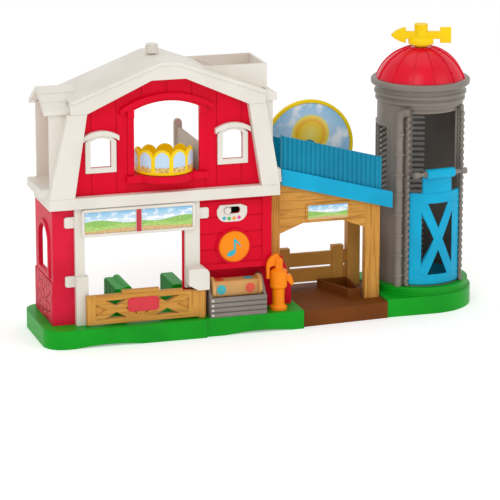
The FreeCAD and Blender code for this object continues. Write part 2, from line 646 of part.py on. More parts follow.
def make_switch():
    """White crescent plate on the panel and the round knob that slides in its slot."""
    plate = piece("switch_plate")
    x, z = d.switch_place, d.switch_height
    half, drop = d.switch_half, d.switch_drop
    high = z + d.slot_rise + d.slot_radius * 1.6
    pad(plate, "XZ", -d.switch_thick, d.switch_thick,
        [(x - half, high - drop * 0.5), (x - half, z, half * 0.62), (x - half * 0.4, z - drop),
         (x + half * 0.4, z - drop, half * 0.62), (x + half, z), (x + half, high - drop * 0.3),
         (x + half * 0.6, high), (x - half * 0.8, high)])
    slot = d.slot_radius
    cut(plate, "XZ", -d.switch_thick - d.overrun, d.switch_thick + d.overrun * 2,
        rounded(x - d.slot_half, z + d.slot_rise - slot, x + d.slot_half,
                z + d.slot_rise + slot, slot * 0.9))
    knob = piece("switch_knob", x - d.knob_travel / 2, 0.0, z + d.slot_rise)
    depth = d.wall + d.free_gap / 2
    pad(knob, "XZ", -d.knob_proud, d.knob_proud + depth, (0.0, 0.0, d.knob_radius))
    pad(knob, "XZ", depth, d.knob_shoe, (0.0, 0.0, d.knob_radius + d.knob_shoe))


def make_button():
    """Round music button: domed cap, flange behind the panel and a stem to the contact."""
    body = piece("music_button", d.button_place, 0.0, d.button_height)
    front = d.button_proud + d.button_collar
    behind = d.wall + d.free_gap / 2
    crown, edge = d.button_crown, d.button_radius - d.button_edge
    bend = (edge * edge + crown * crown) / (crown * 2)
    stem_end = d.board_place - d.tact_radius - d.button_travel - d.free_gap
    flange = behind + d.button_flange
    catch = d.button_radius + d.button_catch
    revolve(body, "XY", "V_Axis",
            [(0.0, -front, bend), (edge, crown - front, d.button_proud),
             (d.button_radius, -d.button_collar - d.groove), (d.button_radius, behind),
             (catch, behind), (catch, flange), (d.stem_radius, flange),
             (d.stem_radius, stem_end), (0.0, stem_end)])


def make_electronics():
    """Circuit board with its contact, speaker, batteries and the covers behind them."""
    board = piece("circuit_board")
    x0, x1 = d.button_place - d.board_half, d.button_place + d.board_half
    pad(board, "XZ", d.board_place, d.board_thick,
        box(x0, d.board_low - d.boss_radius * 2, x1, d.board_top))
    pad(board, "XZ", d.board_place - d.tact_radius, d.tact_radius,
        (d.button_place, d.button_height, d.tact_radius))
    middle = (d.box_left + d.box_right) / 2
    cover = piece("music_rear_cover")
    z0, top = d.base_height, d.eave_under
    back = d.box_back
    pad(cover, "XZ", back, d.cover_thick, box(d.box_left, z0, d.box_right, top))
    half_x = d.battery_length / 2
    half_z = d.battery_radius * 3 + d.battery_gap * 2

    def around(grow):
        """A box round the battery space, grown on every side."""
        return (middle - half_x - grow, d.battery_height - half_z - grow,
                middle + half_x + grow, d.battery_height + half_z + grow)

    cut(cover, "XZ", back, d.cover_thick, box(*around(d.door_thick / 2)))
    holes = []
    for count, share in GRILLE_RINGS:
        for index in range(count):
            turn = 2 * math.pi * index / count
            holes.append((middle + d.speaker_radius * (share * math.cos(turn)),
                          d.speaker_height + d.speaker_radius * (share * math.sin(turn)),
                          d.grille_hole))
    cut(cover, "XZ", back, d.cover_thick, *holes)
    tray = piece("battery_tray")
    depth = d.battery_radius * 2 + d.battery_gap * 2 + d.door_thick
    pad(tray, "XZ", back - depth, depth, box(*around(d.door_thick)))
    cut(tray, "XZ", back - depth + d.door_thick, depth, box(*around(as_size(0.0))))
    door = piece("battery_door")
    pad(door, "XZ", back, d.cover_thick, box(*around(d.door_thick / 2 - d.free_gap / 2)))
    cells = doc.addObject("Part::Compound", "batteries")
    made = []
    for step in (-1, 0, 1):
        cell = doc.addObject("Part::Cylinder", "cell")
        cell.setExpression("Radius", d.battery_radius.text)
        cell.setExpression("Height", d.battery_length.text)
        cell.Placement.Rotation = FreeCAD.Rotation(FreeCAD.Vector(0, 1, 0), 90)
        place(cell, middle - d.battery_length / 2,
              back - d.battery_radius - d.battery_gap,
              d.battery_height + (d.battery_radius * 2 + d.battery_gap) * step)
        made.append(cell)
    cells.Links = made
    cells.Label = "batteries"
    sub_parts.append(cells)
    speaker = piece("speaker", middle, back, d.speaker_height)
    r, depth = d.speaker_radius, d.speaker_depth
    revolve(speaker, "XY", "V_Axis",
            [(0.0, -depth), (r * 0.55, -depth), (r * 0.55, -depth * 0.6), (r, -depth * 0.25),
             (r, 0.0), (r * 0.9, 0.0), (r * 0.3, -depth * 0.4), (0.0, -depth * 0.4)])
    screws = doc.addObject("Part::Compound", "cover_screws")
    made = []
    for x in (d.box_left + d.screw_inset, d.box_right - d.screw_inset):
        for z in (z0 + d.screw_inset, top - d.screw_inset):
            head = doc.addObject("Part::Cylinder", "screw")
            head.setExpression("Radius", d.screw_radius.text)
            head.setExpression("Height", d.door_thick.text)
            head.Placement.Rotation = FreeCAD.Rotation(FreeCAD.Vector(1, 0, 0), -90)
            place(head, x, back + d.cover_thick, z)
            made.append(head)
    screws.Links = made
    screws.Label = "cover_screws"
    sub_parts.append(screws)


def place(item, x, y, z):
    """Ties a primitive's place to the sheet, in the part's own frame."""
    item.setExpression("Placement.Base.x", (as_size(x) - middle_x).text)
    item.setExpression("Placement.Base.y", (as_size(y) - middle_y).text)
    item.setExpression("Placement.Base.z", as_size(z).text)


# Feed corner


def make_crate():
    """Grey slatted crate, lower in front, whose sides carry the feed roller."""
    body = piece("feed_crate")
    z0 = d.base_height
    front, back = -d.crate_front, d.set_back
    side = [(front, z0), (back, z0), (back, d.crate_high_top),
            (back - d.crate_shoulder, d.crate_high_top), (front + d.crate_wall, d.crate_low_top), (front, d.crate_low_top)]
    pad(body, "YZ", d.crate_left, d.crate_right - d.crate_left, side)
    cut(body, "XY", z0 + d.crate_wall, d.crate_high_top,
        box(d.crate_left + d.crate_wall, front + d.crate_wall, d.crate_right - d.crate_wall,
            back + d.overrun))
    slats = []
    pitch = (d.crate_low_top - z0) / 4
    for index in (1, 2, 3):
        level = z0 + pitch * index
        slats.append(box(d.crate_left, level - d.slat_gap / 2, d.crate_right, level + d.slat_gap / 2))
    cut(body, "XZ", front, d.slat_gap, *slats)
    cut(body, "YZ", d.crate_left - d.overrun, d.crate_right - d.crate_left + d.overrun * 2,
        (-d.roller_depth, d.roller_height, d.axle_radius + d.run_fit))


def make_roller():
    """Tan feed roller: four flats between round caps, on stub axles."""
    inner_left = d.crate_left + d.crate_wall
    length = d.crate_right - d.crate_left - d.crate_wall * 2
    body = piece("feed_roller", inner_left, -d.roller_depth, d.roller_height)
    gap = d.end_gap
    flat = d.roller_flat
    pad(body, "YZ", gap + d.roller_cap, length - (gap + d.roller_cap) * 2,
        rounded(-flat, -flat, flat, flat, flat * 0.3))
    pad(body, "YZ", gap, d.roller_cap, (0.0, 0.0, d.roller_radius))
    pad(body, "YZ", length - gap - d.roller_cap, d.roller_cap, (0.0, 0.0, d.roller_radius))
    pad(body, "YZ", -d.crate_wall, gap + d.crate_wall, (0.0, 0.0, d.axle_radius))
    pad(body, "YZ", length - gap, gap + d.crate_wall, (0.0, 0.0, d.axle_radius))


def make_pump():
    """Orange hand pump with its spout, and the curved lever pinned at its head."""
    body = piece("pump_body", d.pump_place, -d.pump_depth)
    z0 = d.base_height
    foot = z0 + d.pump_foot_height
    revolve(body, "XZ", "V_Axis",
            [(0.0, z0), (d.pump_foot, z0), (d.pump_foot, foot), (d.pump_column, foot + d.pump_foot_height),
             (d.pump_column, d.pump_column_top), (d.pump_barrel, d.pump_column_top + d.pump_foot_height),
             (d.pump_barrel, d.pump_shoulder), (d.pump_neck, d.pump_shoulder + d.pump_foot_height),
             (d.pump_neck, d.pump_top, d.pump_neck), (0.0, d.pump_top + d.pump_neck)])
    pad(body, "XZ", -d.spout_radius, d.spout_radius * 2,
        [(d.pump_neck, d.spout_height - d.spout_radius),
         (d.pump_barrel, d.spout_height - d.spout_radius),
         (d.spout_reach - d.spout_radius, d.spout_height - d.spout_radius * 3),
         (d.spout_reach, d.spout_height - d.spout_radius * 2.4),
         (d.spout_reach - d.spout_radius, d.spout_height + d.spout_radius),
         (d.pump_neck, d.spout_height + d.spout_radius * 1.6)])
    slot = d.lever_thick / 2 + d.free_gap / 2
    cut(body, "XZ", -slot, slot * 2,
        box(-d.pump_barrel, d.pump_shoulder + d.pump_foot_height, d.pump_barrel,
            d.pump_top + d.pump_neck * 2))
    cut(body, "XZ", -d.pump_barrel, d.pump_barrel * 2, (0.0, d.lever_pivot + d.lever_width, d.lever_pin))
    lever = piece("pump_handle", d.pump_place, -d.pump_depth, d.lever_pivot + d.lever_width)
    w = d.lever_width * 0.5
    reach = d.lever_reach
    rise = d.pump_top + d.pump_neck - d.lever_pivot
    pad(lever, "XZ", -d.lever_thick / 2, d.lever_thick,
        [(w * 1.6, -w), (w * 1.6, w * 2), (-w, rise, reach * 1.1),
         (-reach, -w * 2), (-reach, -d.lever_drop), (w * 1.6 - reach, -d.lever_drop),
         (w * 1.6 - reach, -w * 2.4, -reach * 0.9), (-w, -w)])
    pad(lever, "XZ", -d.pump_neck * 0.95, d.pump_neck * 1.9, (0.0, 0.0, d.lever_pin - d.run_fit))


# Upper barn


def make_loft_floor():
    """White floor of the loft, with a skirt below its edge on three sides."""
    body = piece("loft_floor")
    left, right, front = -d.eave_left, d.eave_right, -d.eave_front
    pad(body, "XY", d.eave_low, d.loft_level - d.eave_low, box(left, front, right, d.dormer_back))
    cut(body, "XY", d.eave_low - d.overrun, d.eave_under - d.eave_low + d.overrun,
        box(left + d.wall, front + d.wall, right - d.wall, d.dormer_back + d.overrun))


def make_upper_front():
    """Red upper front: arched loft opening under a hood, two windows, a round bay shelf."""
    body = piece("upper_front")
    pad(body, "XZ", 0.0, d.wall,
        [(-d.front_half, d.loft_level), (d.front_half, d.loft_level), (d.knee_half, d.knee_level),
         (d.flat_half, d.front_top), (-d.flat_half, d.front_top), (-d.knee_half, d.knee_level)])
    outer = d.loft_half + d.hood
    grooves = []
    level = d.loft_level + d.plank
    while level.value <= d.knee_level.value:
        for side in (-1, 1):
            grooves.append(across(box(outer, level, d.front_half + d.overrun,
                                      level + d.groove_width), side))
        level = level + d.plank
    cut(body, "XZ", 0.0, d.groove, *grooves)
    pad(body, "XZ", -d.hood_proud, d.hood_proud + d.groove,
        arched(-outer, outer, d.loft_spring - d.hood_ear, d.loft_spring, d.loft_rise + d.hood))
    pad(body, "XZ", -d.jamb_proud, d.jamb_proud + d.groove,
        box(-outer, d.loft_sill, outer, d.loft_spring))
    pad(body, "XY", d.loft_sill - d.shelf_thick, d.shelf_thick, (0.0, d.shelf_depth, d.shelf_radius))
    cut(body, "XZ", -d.hood_proud - d.overrun, d.hood_proud + d.wall + d.overrun * 2,
        arched(-d.loft_half, d.loft_half, d.loft_sill, d.loft_spring, d.loft_rise))
    for side in (-1, 1):
        centre = d.window_place * side
        cut(body, "XZ", 0.0, d.wall + d.overrun,
            arched(centre - d.window_half, centre + d.window_half, d.window_low,
                   d.window_spring, d.window_rise))


def make_window_trims():
    """White window frames on the upper front, each with a sill and a low arched head."""
    for label, side in (("window_trim_left", -1), ("window_trim_right", 1)):
        body = piece(label)
        centre = d.window_place * side
        x0 = centre - d.window_half - d.trim
        x1 = centre + d.window_half + d.trim
        low = d.window_low - d.trim
        pad(body, "XZ", -d.trim_proud, d.trim_proud,
            arched(x0, x1, low, d.window_spring, d.window_rise + d.trim))
        proud = d.trim_proud + d.trim_cap
        pad(body, "XZ", -proud, proud,
            box(x0 - d.trim_cap, low - d.trim_cap, x1 + d.trim_cap, low + d.trim_cap))
        cut(body, "XZ", -proud - d.overrun, proud + d.overrun,
            arched(centre - d.window_half, centre + d.window_half, d.window_low,
                   d.window_spring, d.window_rise))


def gable_level():
    """Level of the dormer roof's underside over the dormer's front face."""
    half = d.dormer_back / 2 + d.gable_front
    return d.gable_eave + (d.gable_ridge - d.gable_eave) * d.gable_front / half - d.roof_wall


def make_side_frames():
    """White ends of the loft: corner leg, front and back of the dormer, and its sill."""
    for label, side, out in (("side_frame_left", -1, d.sill_out), ("side_frame_right", 1, d.slide_left)):
        body = piece(label)
        pad(body, "XZ", -d.eave_front, d.eave_front,
            across([(d.leg_in_low, d.loft_level), (d.leg_out_low, d.loft_level),
                    (d.leg_out_top, d.knee_level), (d.leg_in_top, d.knee_level)], side))
        cheek = across([(d.front_half, d.loft_level), (d.dormer_out, d.loft_level),
                        (d.dormer_out, gable_level()), (d.knee_half, gable_level()),
                        (d.knee_half, d.knee_level)], side)
        pad(body, "XZ", 0.0, d.wall, cheek)
        pad(body, "XZ", d.dormer_back - d.wall, d.wall, cheek)
        pad(body, "XY", d.loft_level, d.sill_height,
            across(box(d.leg_out_low, 0.0, out, d.dormer_back), side))


def make_roof():
    """White roof: front board, two slopes, a flat ridge and a small gable at each end."""
    body = piece("roof_top")
    inner_top = d.front_top - d.roof_wall
    pad(body, "XZ", -d.eave_front, d.eave_front,
        [(-d.board_end, d.knee_level), (-d.leg_in_top, d.knee_level), (-d.flat_half, inner_top),
         (d.flat_half, inner_top), (d.leg_in_top, d.knee_level), (d.board_end, d.knee_level),
         (d.board_end, d.board_knee), (d.board_flat, d.board_peak), (-d.board_flat, d.board_peak),
         (-d.board_end, d.board_knee)])
    t = d.roof_wall
    pad(body, "XZ", 0.0, d.roof_back,
        [(-d.board_end, d.board_knee - t), (-d.board_flat, d.board_peak - t),
         (d.board_flat, d.board_peak - t), (d.board_end, d.board_knee - t),
         (d.board_end, d.board_knee), (d.board_flat, d.board_peak),
         (-d.board_flat, d.board_peak), (-d.board_end, d.board_knee)])
    front, back = -d.gable_front, d.dormer_back + d.gable_front
    ridge = d.dormer_back / 2
    gable = [(front, d.gable_eave - t), (ridge, d.gable_ridge - t), (back, d.gable_eave - t),
             (back, d.gable_eave), (ridge, d.gable_ridge), (front, d.gable_eave)]
    pad(body, "YZ", -d.gable_out, d.gable_out - d.knee_half, gable)
    pad(body, "YZ", d.hopper_right, d.gable_out - d.hopper_right, gable)
    wall = d.hopper_wall
    cut(body, "XY", d.knee_level, d.board_peak - d.knee_level + d.overrun,
        box(hopper_left() + wall, d.hopper_front + wall, d.hopper_right - wall, d.roof_back - wall))


def hopper_left():
    """Where the hopper's level top meets the roof slope."""
    fall = (d.board_peak - d.board_knee) / (d.board_end - d.board_flat)
    return d.board_flat + (d.board_peak - d.hopper_top) / fall


def make_hopper():
    """White wedge-shaped hopper on the right slope, open above and into the loft."""
    body = piece("hopper_box")
    left, right, wall = hopper_left(), d.hopper_right, d.hopper_wall
    pad(body, "XZ", d.hopper_front, d.roof_back - d.hopper_front,
        [(left, d.hopper_top), (right, roof_level(right)), (right, d.hopper_top)])
    cut(body, "XY", d.board_knee - d.overrun, d.hopper_top - d.board_knee + d.overrun * 2,
        box(left + wall, d.hopper_front + wall, right - wall, d.roof_back - wall))


def make_ridge_knob():
    """Ribbed knob on the flat ridge."""
    body = piece("ridge_knob", -d.knob_ridge_place, d.knob_ridge_depth, d.board_peak)
    height = d.knob_ridge_top - d.board_peak
    core = d.knob_ridge_radius - d.knob_rib
    pad(body, "XY", 0.0, height, (0.0, 0.0, core))
    rib = pad(body, "XY", 0.0, height - d.knob_rib, (core, 0.0, d.knob_rib))
    polar(body, rib, KNOB_RIBS)


def make_chute():
    """Grey guide wall inside the loft, slanting from the hopper down to the opening."""
    body = piece("chute_wall")
    front, back = d.hopper_front, d.roof_back
    thick = d.hopper_wall
    pad(body, "XY", d.loft_level, d.chute_high - d.loft_level,
        [(d.chute_front, front), (d.chute_front + thick, front), (d.chute_back + thick, back),
         (d.chute_back, back)])
    cut(body, "YZ", 0.0, d.front_half,
        [(front, d.chute_low), (back, d.chute_high), (back, d.chute_high + d.overrun),
         (front, d.chute_high + d.overrun)])


def make_nest():
    """Yellow lobed nest on the bay shelf, and the spindle it turns on."""
    body = piece("nest_ring", 0.0, d.shelf_depth, d.loft_sill + d.nest_lift)
    pad(body, "XY", 0.0, d.nest_height, (0.0, 0.0, d.nest_radius))
    cut(body, "XY", d.nest_floor, d.nest_height, (0.0, 0.0, d.nest_radius - d.nest_wall))
    cut(body, "XY", -d.overrun, d.nest_height, (0.0, 0.0, d.spindle_radius + d.run_fit))
    valley = cut(body, "XZ", -d.nest_radius - d.overrun, d.nest_wall * 3 + d.overrun,
                 (0.0, d.nest_height, d.nest_valley))
    polar(body, valley, NEST_LOBES)
    spindle = piece("nest_spindle", 0.0, d.shelf_depth, d.loft_sill)
    pad(spindle, "XY", 0.0, d.spindle_height, (0.0, 0.0, d.spindle_radius))


# Lean-to and slide


def make_leanto():
    """Golden timber frame of the lean-to: two posts, a deep header and its brackets."""
    body = piece("leanto_frame")
    left_in = d.stand_left + d.stand_width
    right_in = d.stand_right - d.right_width
    low = d.header_low
    under = -d.fascia_height
    band = slide_band(d.slide_left, d.stand_right, under, under)
    pad(body, "XZ", d.frame_front, d.frame_thick,
        [(d.stand_left, d.base_height), (left_in, d.base_height), (left_in, low - d.bracket_drop),
         (left_in + d.bracket_run, low), (right_in - d.bracket_run, low),
         (right_in, low - d.bracket_drop), (right_in, d.yard_height),
         (d.stand_right, d.yard_height), band[1], band[0],
         (d.slide_left, d.eave_low), (d.stand_left, d.eave_low)])
    fascia = piece("fascia")
    pad(fascia, "XZ", d.frame_front - d.fascia_thick, d.fascia_thick,
        slide_band(d.slide_left, d.fascia_right, under, as_size(0.0)))


def make_slide():
    """Teal slide from the loft to the silo: floor, corrugated guard and low back wall."""
    body = piece("slide")
    x0, x1 = d.slide_left, d.slide_end
    front = d.frame_front
    back = d.slide_back + d.guard_wall
    floor = -d.floor_drop
    pad(body, "XZ", front, d.guard_wall, slide_band(x0, x1, -d.fascia_height, d.guard_height))
    ribs = []
    at = x0 + d.corrugation / 2
    while (at + d.corrugation / 2).value < x1.value:
        ribs.append(slide_band(at, at + d.corrugation / 2, as_size(0.0), d.guard_height))
        at = at + d.corrugation
    pad(body, "XZ", front - d.corrugation_proud, d.corrugation_proud, *ribs)
    pad(body, "XZ", front, back - front, slide_band(x0, x1, floor - d.guard_wall, floor))
    pad(body, "XZ", d.slide_back, d.guard_wall,
        slide_band(x0, x1, floor - d.guard_wall, floor + d.back_height))
    pad(body, "XZ", d.slide_back, d.guard_wall, (d.disc_place, d.disc_height, d.disc_ear))
    cut(body, "XZ", d.slide_back - d.overrun, d.guard_wall + d.overrun * 2,
        (d.disc_place, d.disc_height, d.disc_pin + d.run_fit))
    half = d.hatch_half - d.guard_wall
    pad(body, "XZ", d.silo_depth - half, half * 2,
        slide_band(x1, x1 + d.slide_tongue, floor - d.guard_wall, floor))


def make_sky_disc():
    """Large round disc behind the slide, with a raised rim, and the pin it turns on."""
    body = piece("sky_disc", d.disc_place, d.slide_back + d.guard_wall + d.free_gap, d.disc_height)
    pad(body, "XZ", d.disc_rim_proud, d.disc_thick, (0.0, 0.0, d.disc_radius))
    pad(body, "XZ", 0.0, d.disc_rim_proud, (0.0, 0.0, d.disc_radius),
        (0.0, 0.0, d.disc_radius - d.disc_rim))
    cut(body, "XZ", -d.overrun, d.disc_thick + d.disc_rim_proud + d.overrun * 2,
        (0.0, 0.0, d.disc_pin + d.run_fit))
    pin = piece("sky_disc_pin", d.disc_place, d.slide_back, d.disc_height)
    end = d.guard_wall + d.free_gap * 2 + d.disc_rim_proud + d.disc_thick
    head = d.guard_wall
    revolve(pin, "XY", "V_Axis",
            [(0.0, -head), (d.disc_head, -head), (d.disc_head, 0.0), (d.disc_pin, 0.0),
             (d.disc_pin, end), (d.disc_head, end), (d.disc_head, end + head), (0.0, end + head)])


# Silo


def make_silo():
    """Grey silo: an open-fronted tube with a wide rim, a hatch and a toothed rack each side."""
    body = piece("silo_body", d.silo_place, d.silo_depth, 0.0, d.silo_turn)
    outer, inner = d.silo_radius, d.silo_radius - d.silo_wall
    bore = (0.0, 0.0, inner)
    pad(body, "XY", d.base_height, d.silo_top - d.base_height, (0.0, 0.0, outer), bore)
    pad(body, "XY", d.silo_top, d.rim_top - d.silo_top, (0.0, 0.0, d.rim_radius), bore)
    for step in (1, 3):
        pad(body, "XY", d.silo_top - d.band_height * step, d.band_height / 2,
            (0.0, 0.0, outer + d.band_proud), bore)
    x0, x1 = d.mouth_half, d.mouth_half + d.jamb_width
    inside = leg_of(inner, d.mouth_half)
    for side in (-1, 1):
        pad(body, "XY", ring_level, d.mouth_top - ring_level,
            across(box(x0, -d.jamb_front, x1, -inside), side))
    cut(body, "XZ", -d.rim_radius, d.rim_radius - d.jamb_front / 2,
        box(-d.mouth_half, d.mouth_low, d.mouth_half, d.mouth_top))
    cut(body, "YZ", -d.rim_radius, d.rim_radius,
        box(-d.hatch_half, d.hatch_low, d.hatch_half, d.hatch_top), turn=-d.silo_turn)
    for label, side in (("silo_rack_left", -1), ("silo_rack_right", 1)):
        rack = piece(label, d.silo_place, d.silo_depth, 0.0, d.silo_turn)
        front = -d.jamb_front - d.rack_thick
        low, high = d.mouth_low, d.mouth_top - d.rack_pitch
        pad(rack, "XZ", front, d.rack_thick, across(box(x0, low, x1, high), side))
        gaps = []
        level = low + d.rack_pitch / 2
        while (level + d.rack_pitch / 2).value < high.value:
            gaps.append(across(box(x0 - d.overrun, level, x1 + d.overrun,
                                   level + d.rack_pitch / 2), side))
            level = level + d.rack_pitch
        cut(rack, "XZ", front, d.tooth, *gaps)


def make_pipe():
    """Grey filling pipe up the side of the silo, with ring clamps."""
    body = piece("silo_pipe", d.silo_place, d.silo_depth, 0.0, d.pipe_turn)
    centre = d.silo_radius + d.pipe_radius
    pad(body, "XY", ring_level, d.pipe_top - ring_level, (centre, 0.0, d.pipe_radius))
    level = ring_level + d.clamp_pitch / 2
    while (level + d.clamp_height).value < d.pipe_top.value:
        pad(body, "XY", level, d.clamp_height, (centre, 0.0, d.pipe_radius + d.clamp_proud))
        level = level + d.clamp_pitch
    cut(body, "XY", d.base_height, d.pipe_top, (0.0, 0.0, d.silo_radius + d.free_gap))


def make_dome():
    """Red ribbed dome on the silo's rim."""
    body = piece("silo_dome", d.silo_place, d.silo_depth)
    base, top, r = d.rim_top, d.dome_top, d.dome_sphere
    centre = base - leg_of(r, d.dome_radius)
    inner = r - d.dome_wall
    roof = top - d.dome_wall
    hole = d.vane_pin + d.run_fit
    revolve(body, "XZ", "V_Axis",
            [(leg_of(inner, base - centre), base), (d.dome_radius, base, r),
             (leg_of(r, top - centre), top), (hole, top), (hole, roof),
             (leg_of(inner, roof - centre), roof, -inner)])
    proud = r + d.dome_rib
    rib = revolve(body, "XZ", "V_Axis",
                  [(d.dome_radius, base), (leg_of(proud, base - centre), base, proud),
                   (leg_of(proud, top - centre), top), (leg_of(r, top - centre), top, -r)],
                  angle=d.dome_rib_turn)
    polar(body, rib, DOME_RIBS)


def make_vane():
    """Yellow weather vane: hub, post and arrow, on a pin in the top of the dome."""
    body = piece("weather_vane", d.silo_place, d.silo_depth, d.dome_top + d.free_gap, d.vane_turn)
    h = d.vane_hub_height
    top = d.vane_top - d.dome_top - d.free_gap
    middle = top - d.vane_half
    revolve(body, "XZ", "V_Axis",
            [(0.0, -d.vane_pin_length), (d.vane_pin, -d.vane_pin_length), (d.vane_pin, 0.0),
             (d.vane_hub, 0.0), (d.vane_hub, h / 2), (d.vane_post, h), (d.vane_post, top),
             (0.0, top)])
    neck = d.vane_reach - d.vane_head
    tail = d.vane_reach - d.vane_tail
    s, w = d.vane_shaft, d.vane_half
    pad(body, "XZ", -d.vane_thick / 2, d.vane_thick,
        [(-d.vane_reach, middle - w), (-tail, middle - w), (s - tail, middle - s),
         (neck, middle - s), (neck, middle - w), (d.vane_reach, middle), (neck, middle + w),
         (neck, middle + s), (s - tail, middle + s), (-tail, middle + w),
         (-d.vane_reach, middle + w), (s - d.vane_reach, middle)])


def panel_outline(half, outer, inner):
    """A piece of a round wall, half wide on each side of its middle, facing front."""
    return [(-half, -leg_of(outer, half), outer), (half, -leg_of(outer, half)),
            (half, -leg_of(inner, half), -inner), (-half, -leg_of(inner, half))]


def make_lift():
    """Blue lift in the silo's mouth: crossed curved panel, platform, and a rod in its sleeve."""
    body = piece("silo_lift", d.silo_place, d.silo_depth, 0.0, d.silo_turn)
    outer = d.silo_radius + d.lift_gap
    inner = outer - d.silo_wall
    low, top = d.lift_low, d.lift_top
    pad(body, "XY", low, top - low, panel_outline(d.lift_half, outer, inner))
    pad(body, "XY", top, d.lift_neck_top - top, panel_outline(d.lift_neck, outer, inner))
    x, z0, z1 = d.lift_half - d.lift_frame, low + d.lift_frame, top - d.lift_frame
    z = (z0 + z1) / 2
    b = d.lift_brace
    cut(body, "XZ", -d.rim_radius, d.rim_radius / 2,
        [(-x + b / 2, z0), (x - b / 2, z0), (0.0, z - b)],
        [(-x + b / 2, z1), (0.0, z + b), (x - b / 2, z1)],
        [(-x, z0 + b), (-b / 2, z), (-x, z1 - b)],
        [(x, z0 + b), (x, z1 - b), (b / 2, z)])
    pad(body, "XY", low, d.platform_thick, (0.0, 0.0, d.platform_radius))
    pad(body, "XY", low, d.platform_thick,
        box(-d.lift_neck, -inner + d.platform_thick / 2, d.lift_neck, -d.lift_neck))
    sleeve = (-d.sleeve_place, d.sleeve_height, d.sleeve_radius)
    pad(body, "YZ", -d.sleeve_half, d.sleeve_half * 2, sleeve)
    cut(body, "YZ", -d.rod_half, d.rod_half * 2,
        (-d.sleeve_place, d.sleeve_height, d.rod_radius + d.run_fit))
    rod = piece("lift_rod", d.silo_place, d.silo_depth, 0.0, d.silo_turn)
    pad(rod, "YZ", -d.rod_half, d.rod_half * 2, (-d.sleeve_place, d.sleeve_height, d.rod_radius))
    knob = (-d.sleeve_place, d.sleeve_height, d.rod_end)
    for at, length in ((-d.rod_half, d.rod_end_length), (-d.sleeve_half - d.rod_radius, d.rod_radius),
                       (d.sleeve_half, d.rod_radius), (d.rod_half - d.rod_end_length, d.rod_end_length)):
        pad(rod, "YZ", at, length, knob)


for make in (make_base_tray, make_yard_floor, make_silo_pad, make_fence, make_left_wall,
             make_door_posts, make_sign, make_gate, make_stalls, make_music_housing, make_switch,
             make_button, make_electronics, make_crate, make_roller, make_pump, make_loft_floor,
             make_upper_front, make_window_trims, make_side_frames, make_roof, make_hopper,
             make_ridge_knob, make_chute, make_nest, make_leanto, make_slide, make_sky_disc,
             make_silo, make_pipe, make_dome, make_vane, make_lift):
    make()
doc.recompute()

faults = []
for item in doc.Objects:
    if "Invalid" in item.State or "Error" in item.State:
        faults.append(f"{item.Name} ({item.Label}): {item.State}")
for item in sub_parts:
    shape = item.Shape
    if shape.isNull() or not shape.isValid():
        faults.append(f"{item.Label}: no valid shape")
    elif item.TypeId == "PartDesign::Body" and len(shape.Solids) != 1:
        faults.append(f"{item.Label}: {len(shape.Solids)} solids")
if faults:
    raise RuntimeError("; ".join(faults))

os.makedirs("parts", exist_ok=True)
for item in sub_parts:
    item.Shape.exportStep(f"parts/{item.Label}.step")
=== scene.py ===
import json
import math

import bpy
import numpy as np
from mathutils import Matrix, Vector


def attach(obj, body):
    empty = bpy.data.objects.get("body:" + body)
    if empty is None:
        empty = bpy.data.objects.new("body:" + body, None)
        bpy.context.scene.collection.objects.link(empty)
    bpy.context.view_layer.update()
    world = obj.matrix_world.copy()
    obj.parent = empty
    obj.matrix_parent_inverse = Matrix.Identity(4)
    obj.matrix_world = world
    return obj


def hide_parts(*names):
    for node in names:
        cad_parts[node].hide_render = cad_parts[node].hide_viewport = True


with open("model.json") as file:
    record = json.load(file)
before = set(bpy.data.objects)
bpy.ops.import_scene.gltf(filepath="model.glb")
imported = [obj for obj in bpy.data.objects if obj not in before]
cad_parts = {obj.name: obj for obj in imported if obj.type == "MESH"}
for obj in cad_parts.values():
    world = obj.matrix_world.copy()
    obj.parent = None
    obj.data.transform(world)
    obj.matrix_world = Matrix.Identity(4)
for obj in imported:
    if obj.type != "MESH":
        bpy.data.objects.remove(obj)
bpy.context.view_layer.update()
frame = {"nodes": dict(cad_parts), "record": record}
nodes = frame["nodes"]

MM = 0.001
MIDDLE = np.array([93.5, 36.0, 0.0])  # the footprint's middle, seen from the barn's centreline
UP = np.array([0.0, 0.0, 1.0])
X, Y, Z = range(3)  # places of the axes in a point


# Colours and nodes


def linear(text):
    """sRGB hex to linear: below 0.04045 a straight line, above it a power of 2.4."""
    srgb = np.array([int(text[i:i + 2], 16) for i in (1, 3, 5)]) / 255
    low, high = srgb / 12.92, ((srgb + 0.055) / 1.055) ** 2.4
    return (*np.where(srgb <= 0.04045, low, high).tolist(), 1.0)


def grey(share):
    """A grey for a mask: this share of white."""
    return (share, share, share, 1.0)


def connect(tree, made, inputs):
    """Gives a node its inputs: each a plain value, or a socket that is linked to it."""
    for name, value in inputs.items():
        if isinstance(value, bpy.types.NodeSocket):
            tree.links.new(value, made.inputs[name])
        else:
            made.inputs[name].default_value = value


def node(tree, kind, inputs=None, stops=(), pick=0, **settings):
    """Adds one shader node with its settings and inputs, and gives the output that is picked.

    stops are the (place, linear colour) pairs of a colour ramp, two or more.
    """
    made = tree.nodes.new("ShaderNode" + kind)
    for name, value in settings.items():
        setattr(made, name, value)
    connect(tree, made, inputs or {})
    for place, colour in stops[2:]:
        made.color_ramp.elements.new(place)
    for index, (place, colour) in enumerate(stops):
        made.color_ramp.elements[index].position = place
        made.color_ramp.elements[index].color = colour
    return made.outputs[pick] if len(made.outputs) else None


def blank(name):
    """An empty material with its tree, its Object coordinates and its shader."""
    material = bpy.data.materials.new(name)
    material.use_nodes = True
    tree = material.node_tree
    tree.nodes.clear()
    where = node(tree, "TexCoord", pick="Object")
    shader = node(tree, "BsdfPrincipled")
    node(tree, "OutputMaterial", {"Surface": shader})
    return material, tree, where, shader.node


